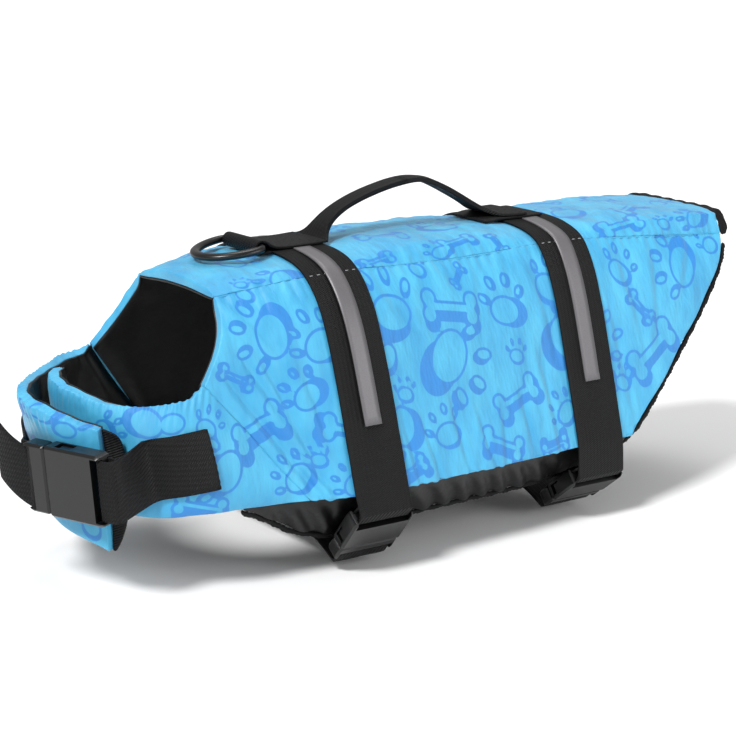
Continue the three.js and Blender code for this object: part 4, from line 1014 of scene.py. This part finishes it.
def boxCross(a, b, c, d):
    return [(a, b, c, d, a), (a, c), (b, d)]


darkSeams = {
    "stitch_ring_tab": {
        "on": "dressed_ring_tab",
        "lines": boxCross((-104, -17, 13), (-73, -17, 13), (-73, 17, 13), (-104, 17, 13))},
    "stitch_handle_foot": {
        "on": "dressed_handle",
        "lines": boxCross((72, -16, 15), (88, -17, 14), (88, 17, 14), (72, 16, 15))},
    "stitch_rear_patch": {
        "on": "dressed_rear_patch",
        "lines": [((101.5, -18, 11), (101.5, 18, 11)), ((57, -18, 11), (57, 18, 11))]},
    "stitch_chest_left": {
        "on": "dressed_chest_strap_left",
        "lines": boxCross((-197, -98, -82), (-216, -92, -82), (-214, -93, -115), (-193, -98, -117))},
}
paleSeams = {
    "straps": {"front": -90, "rear": 90},
    "half": 18, "seamOut": 55, "seamHeight": 1, "seamRadius": 0.2,
    "tapeEdge": 4.9, "tapeTop": (30, 9), "tapeFoot": (84, -80),     # out and up from the middle
    "barHalf": 5, "barOut": 86, "barHeights": (-84.5, -83),
    "tapeRadius": 0.16, "tapeStep": 8.0,
}
for name, seam in darkSeams.items():
    sewLines(name, seam["on"], seam["lines"], threadFinishes["dark"])
for key, middle in paleSeams["straps"].items():
    half, edge, barHalf = paleSeams["half"], paleSeams["tapeEdge"], paleSeams["barHalf"]
    (topOut, topUp), (footOut, footUp) = paleSeams["tapeTop"], paleSeams["tapeFoot"]
    for sideName, way in (("left", -1), ("right", 1)):
        out, up = way * paleSeams["seamOut"], paleSeams["seamHeight"]
        sewLines(f"stitch_seam_{key}_{sideName}", f"dressed_belly_strap_{key}",
                 [((middle - half, out, up), (middle + half, out, up))],
                 threadFinishes["pale"], radius=paleSeams["seamRadius"])
        barOut = way * paleSeams["barOut"]
        sides = [((x, way * topOut, topUp), (x, way * footOut, footUp))
                 for x in (middle - edge, middle + edge)]
        bars = [((middle - barHalf, barOut, barUp), (middle + barHalf, barOut, barUp))
                for barUp in paleSeams["barHeights"]]
        sewLines(f"stitch_tape_{key}_{sideName}", f"dressed_tape_{key}_{sideName}", sides + bars,
                 threadFinishes["pale"], radius=paleSeams["tapeRadius"], step=paleSeams["tapeStep"])
print("stitching laid")


# floor, light and camera

stagePlan = {
    "floorBelow": 4 * mm, "floorSize": 60.0, "floorColour": (0.96, 0.96, 0.96, 1), "floorRoughness": 0.95,
    "skyColour": (1, 1, 1, 1), "skyStrength": 0.45,
    "lampsLookAt": (-0.02, 0, -0.06),
}
floorShape = bmesh.new()
bmesh.ops.create_grid(floorShape, x_segments=1, y_segments=1, size=stagePlan["floorSize"] / 2)
bmesh.ops.translate(floorShape, verts=floorShape.verts, vec=(0, 0, cadBox[0].z - stagePlan["floorBelow"]))
floorMesh = bpy.data.meshes.new("floor")
floorShape.to_mesh(floorMesh)
floorShape.free()
floorMesh.materials.append(Shader("pale floor").surface({
    "Base Color": stagePlan["floorColour"], "Roughness": stagePlan["floorRoughness"],
}))
floor = bpy.data.objects.new("floor", floorMesh)
bpy.context.scene.collection.objects.link(floor)

world = bpy.data.worlds.new("studio")
bpy.context.scene.world = world
world.use_nodes = True
sky = world.node_tree.nodes["Background"]
sky.inputs["Color"].default_value = stagePlan["skyColour"]
sky.inputs["Strength"].default_value = stagePlan["skyStrength"]

lamps = [
    {"name": "fill", "at": (0.9, -2.0, 0.7), "size": 1.2, "power": 16},
    {"name": "top", "at": (0.3, 0.5, 1.8), "size": 0.8, "power": 10},
]
for lamp in lamps:
    data = bpy.data.lights.new(lamp["name"], "AREA")
    data.energy = lamp["power"]
    data.size = lamp["size"]
    made = bpy.data.objects.new(lamp["name"], data)
    made.location = lamp["at"]
    toTarget = Vector(stagePlan["lampsLookAt"]) - made.location
    made.rotation_euler = toTarget.to_track_quat("-Z", "Y").to_euler()
    bpy.context.scene.collection.objects.link(made)

sunPlan = {"from": (-1.0, -0.35, 1.15), "strength": 3.0, "spread": 14}
sunData = bpy.data.lights.new("sun", "SUN")
sunData.energy = sunPlan["strength"]
sunData.angle = math.radians(sunPlan["spread"])
sun = bpy.data.objects.new("sun", sunData)
sun.rotation_euler = Vector(sunPlan["from"]).to_track_quat("Z", "Y").to_euler()
bpy.context.scene.collection.objects.link(sun)

cameraPlan = {
    "azimuth": -35.5, "elevation": 13.6, "distance": 1.5206, "lookAt": (-0.025, 0, -0.0791),
    "lens": 115.185, "sensorWidth": 36, "farthest": 100,
}
azimuth, elevation = math.radians(cameraPlan["azimuth"]), math.radians(cameraPlan["elevation"])
towardsCamera = Vector((
    math.sin(azimuth) * math.cos(elevation), -math.cos(azimuth) * math.cos(elevation), math.sin(elevation)))
camera = bpy.data.objects.new("camera", bpy.data.cameras.new("camera"))
camera.data.lens = cameraPlan["lens"]
camera.data.sensor_width = cameraPlan["sensorWidth"]
camera.data.clip_end = cameraPlan["farthest"]
camera.location = Vector(cameraPlan["lookAt"]) + towardsCamera * cameraPlan["distance"]
camera.rotation_mode = "QUATERNION"
camera.rotation_quaternion = (-towardsCamera).to_track_quat("-Z", "Y")
bpy.context.scene.collection.objects.link(camera)
bpy.context.scene.camera = camera
bpy.context.scene.view_settings.view_transform = "Standard"
print("stage set")
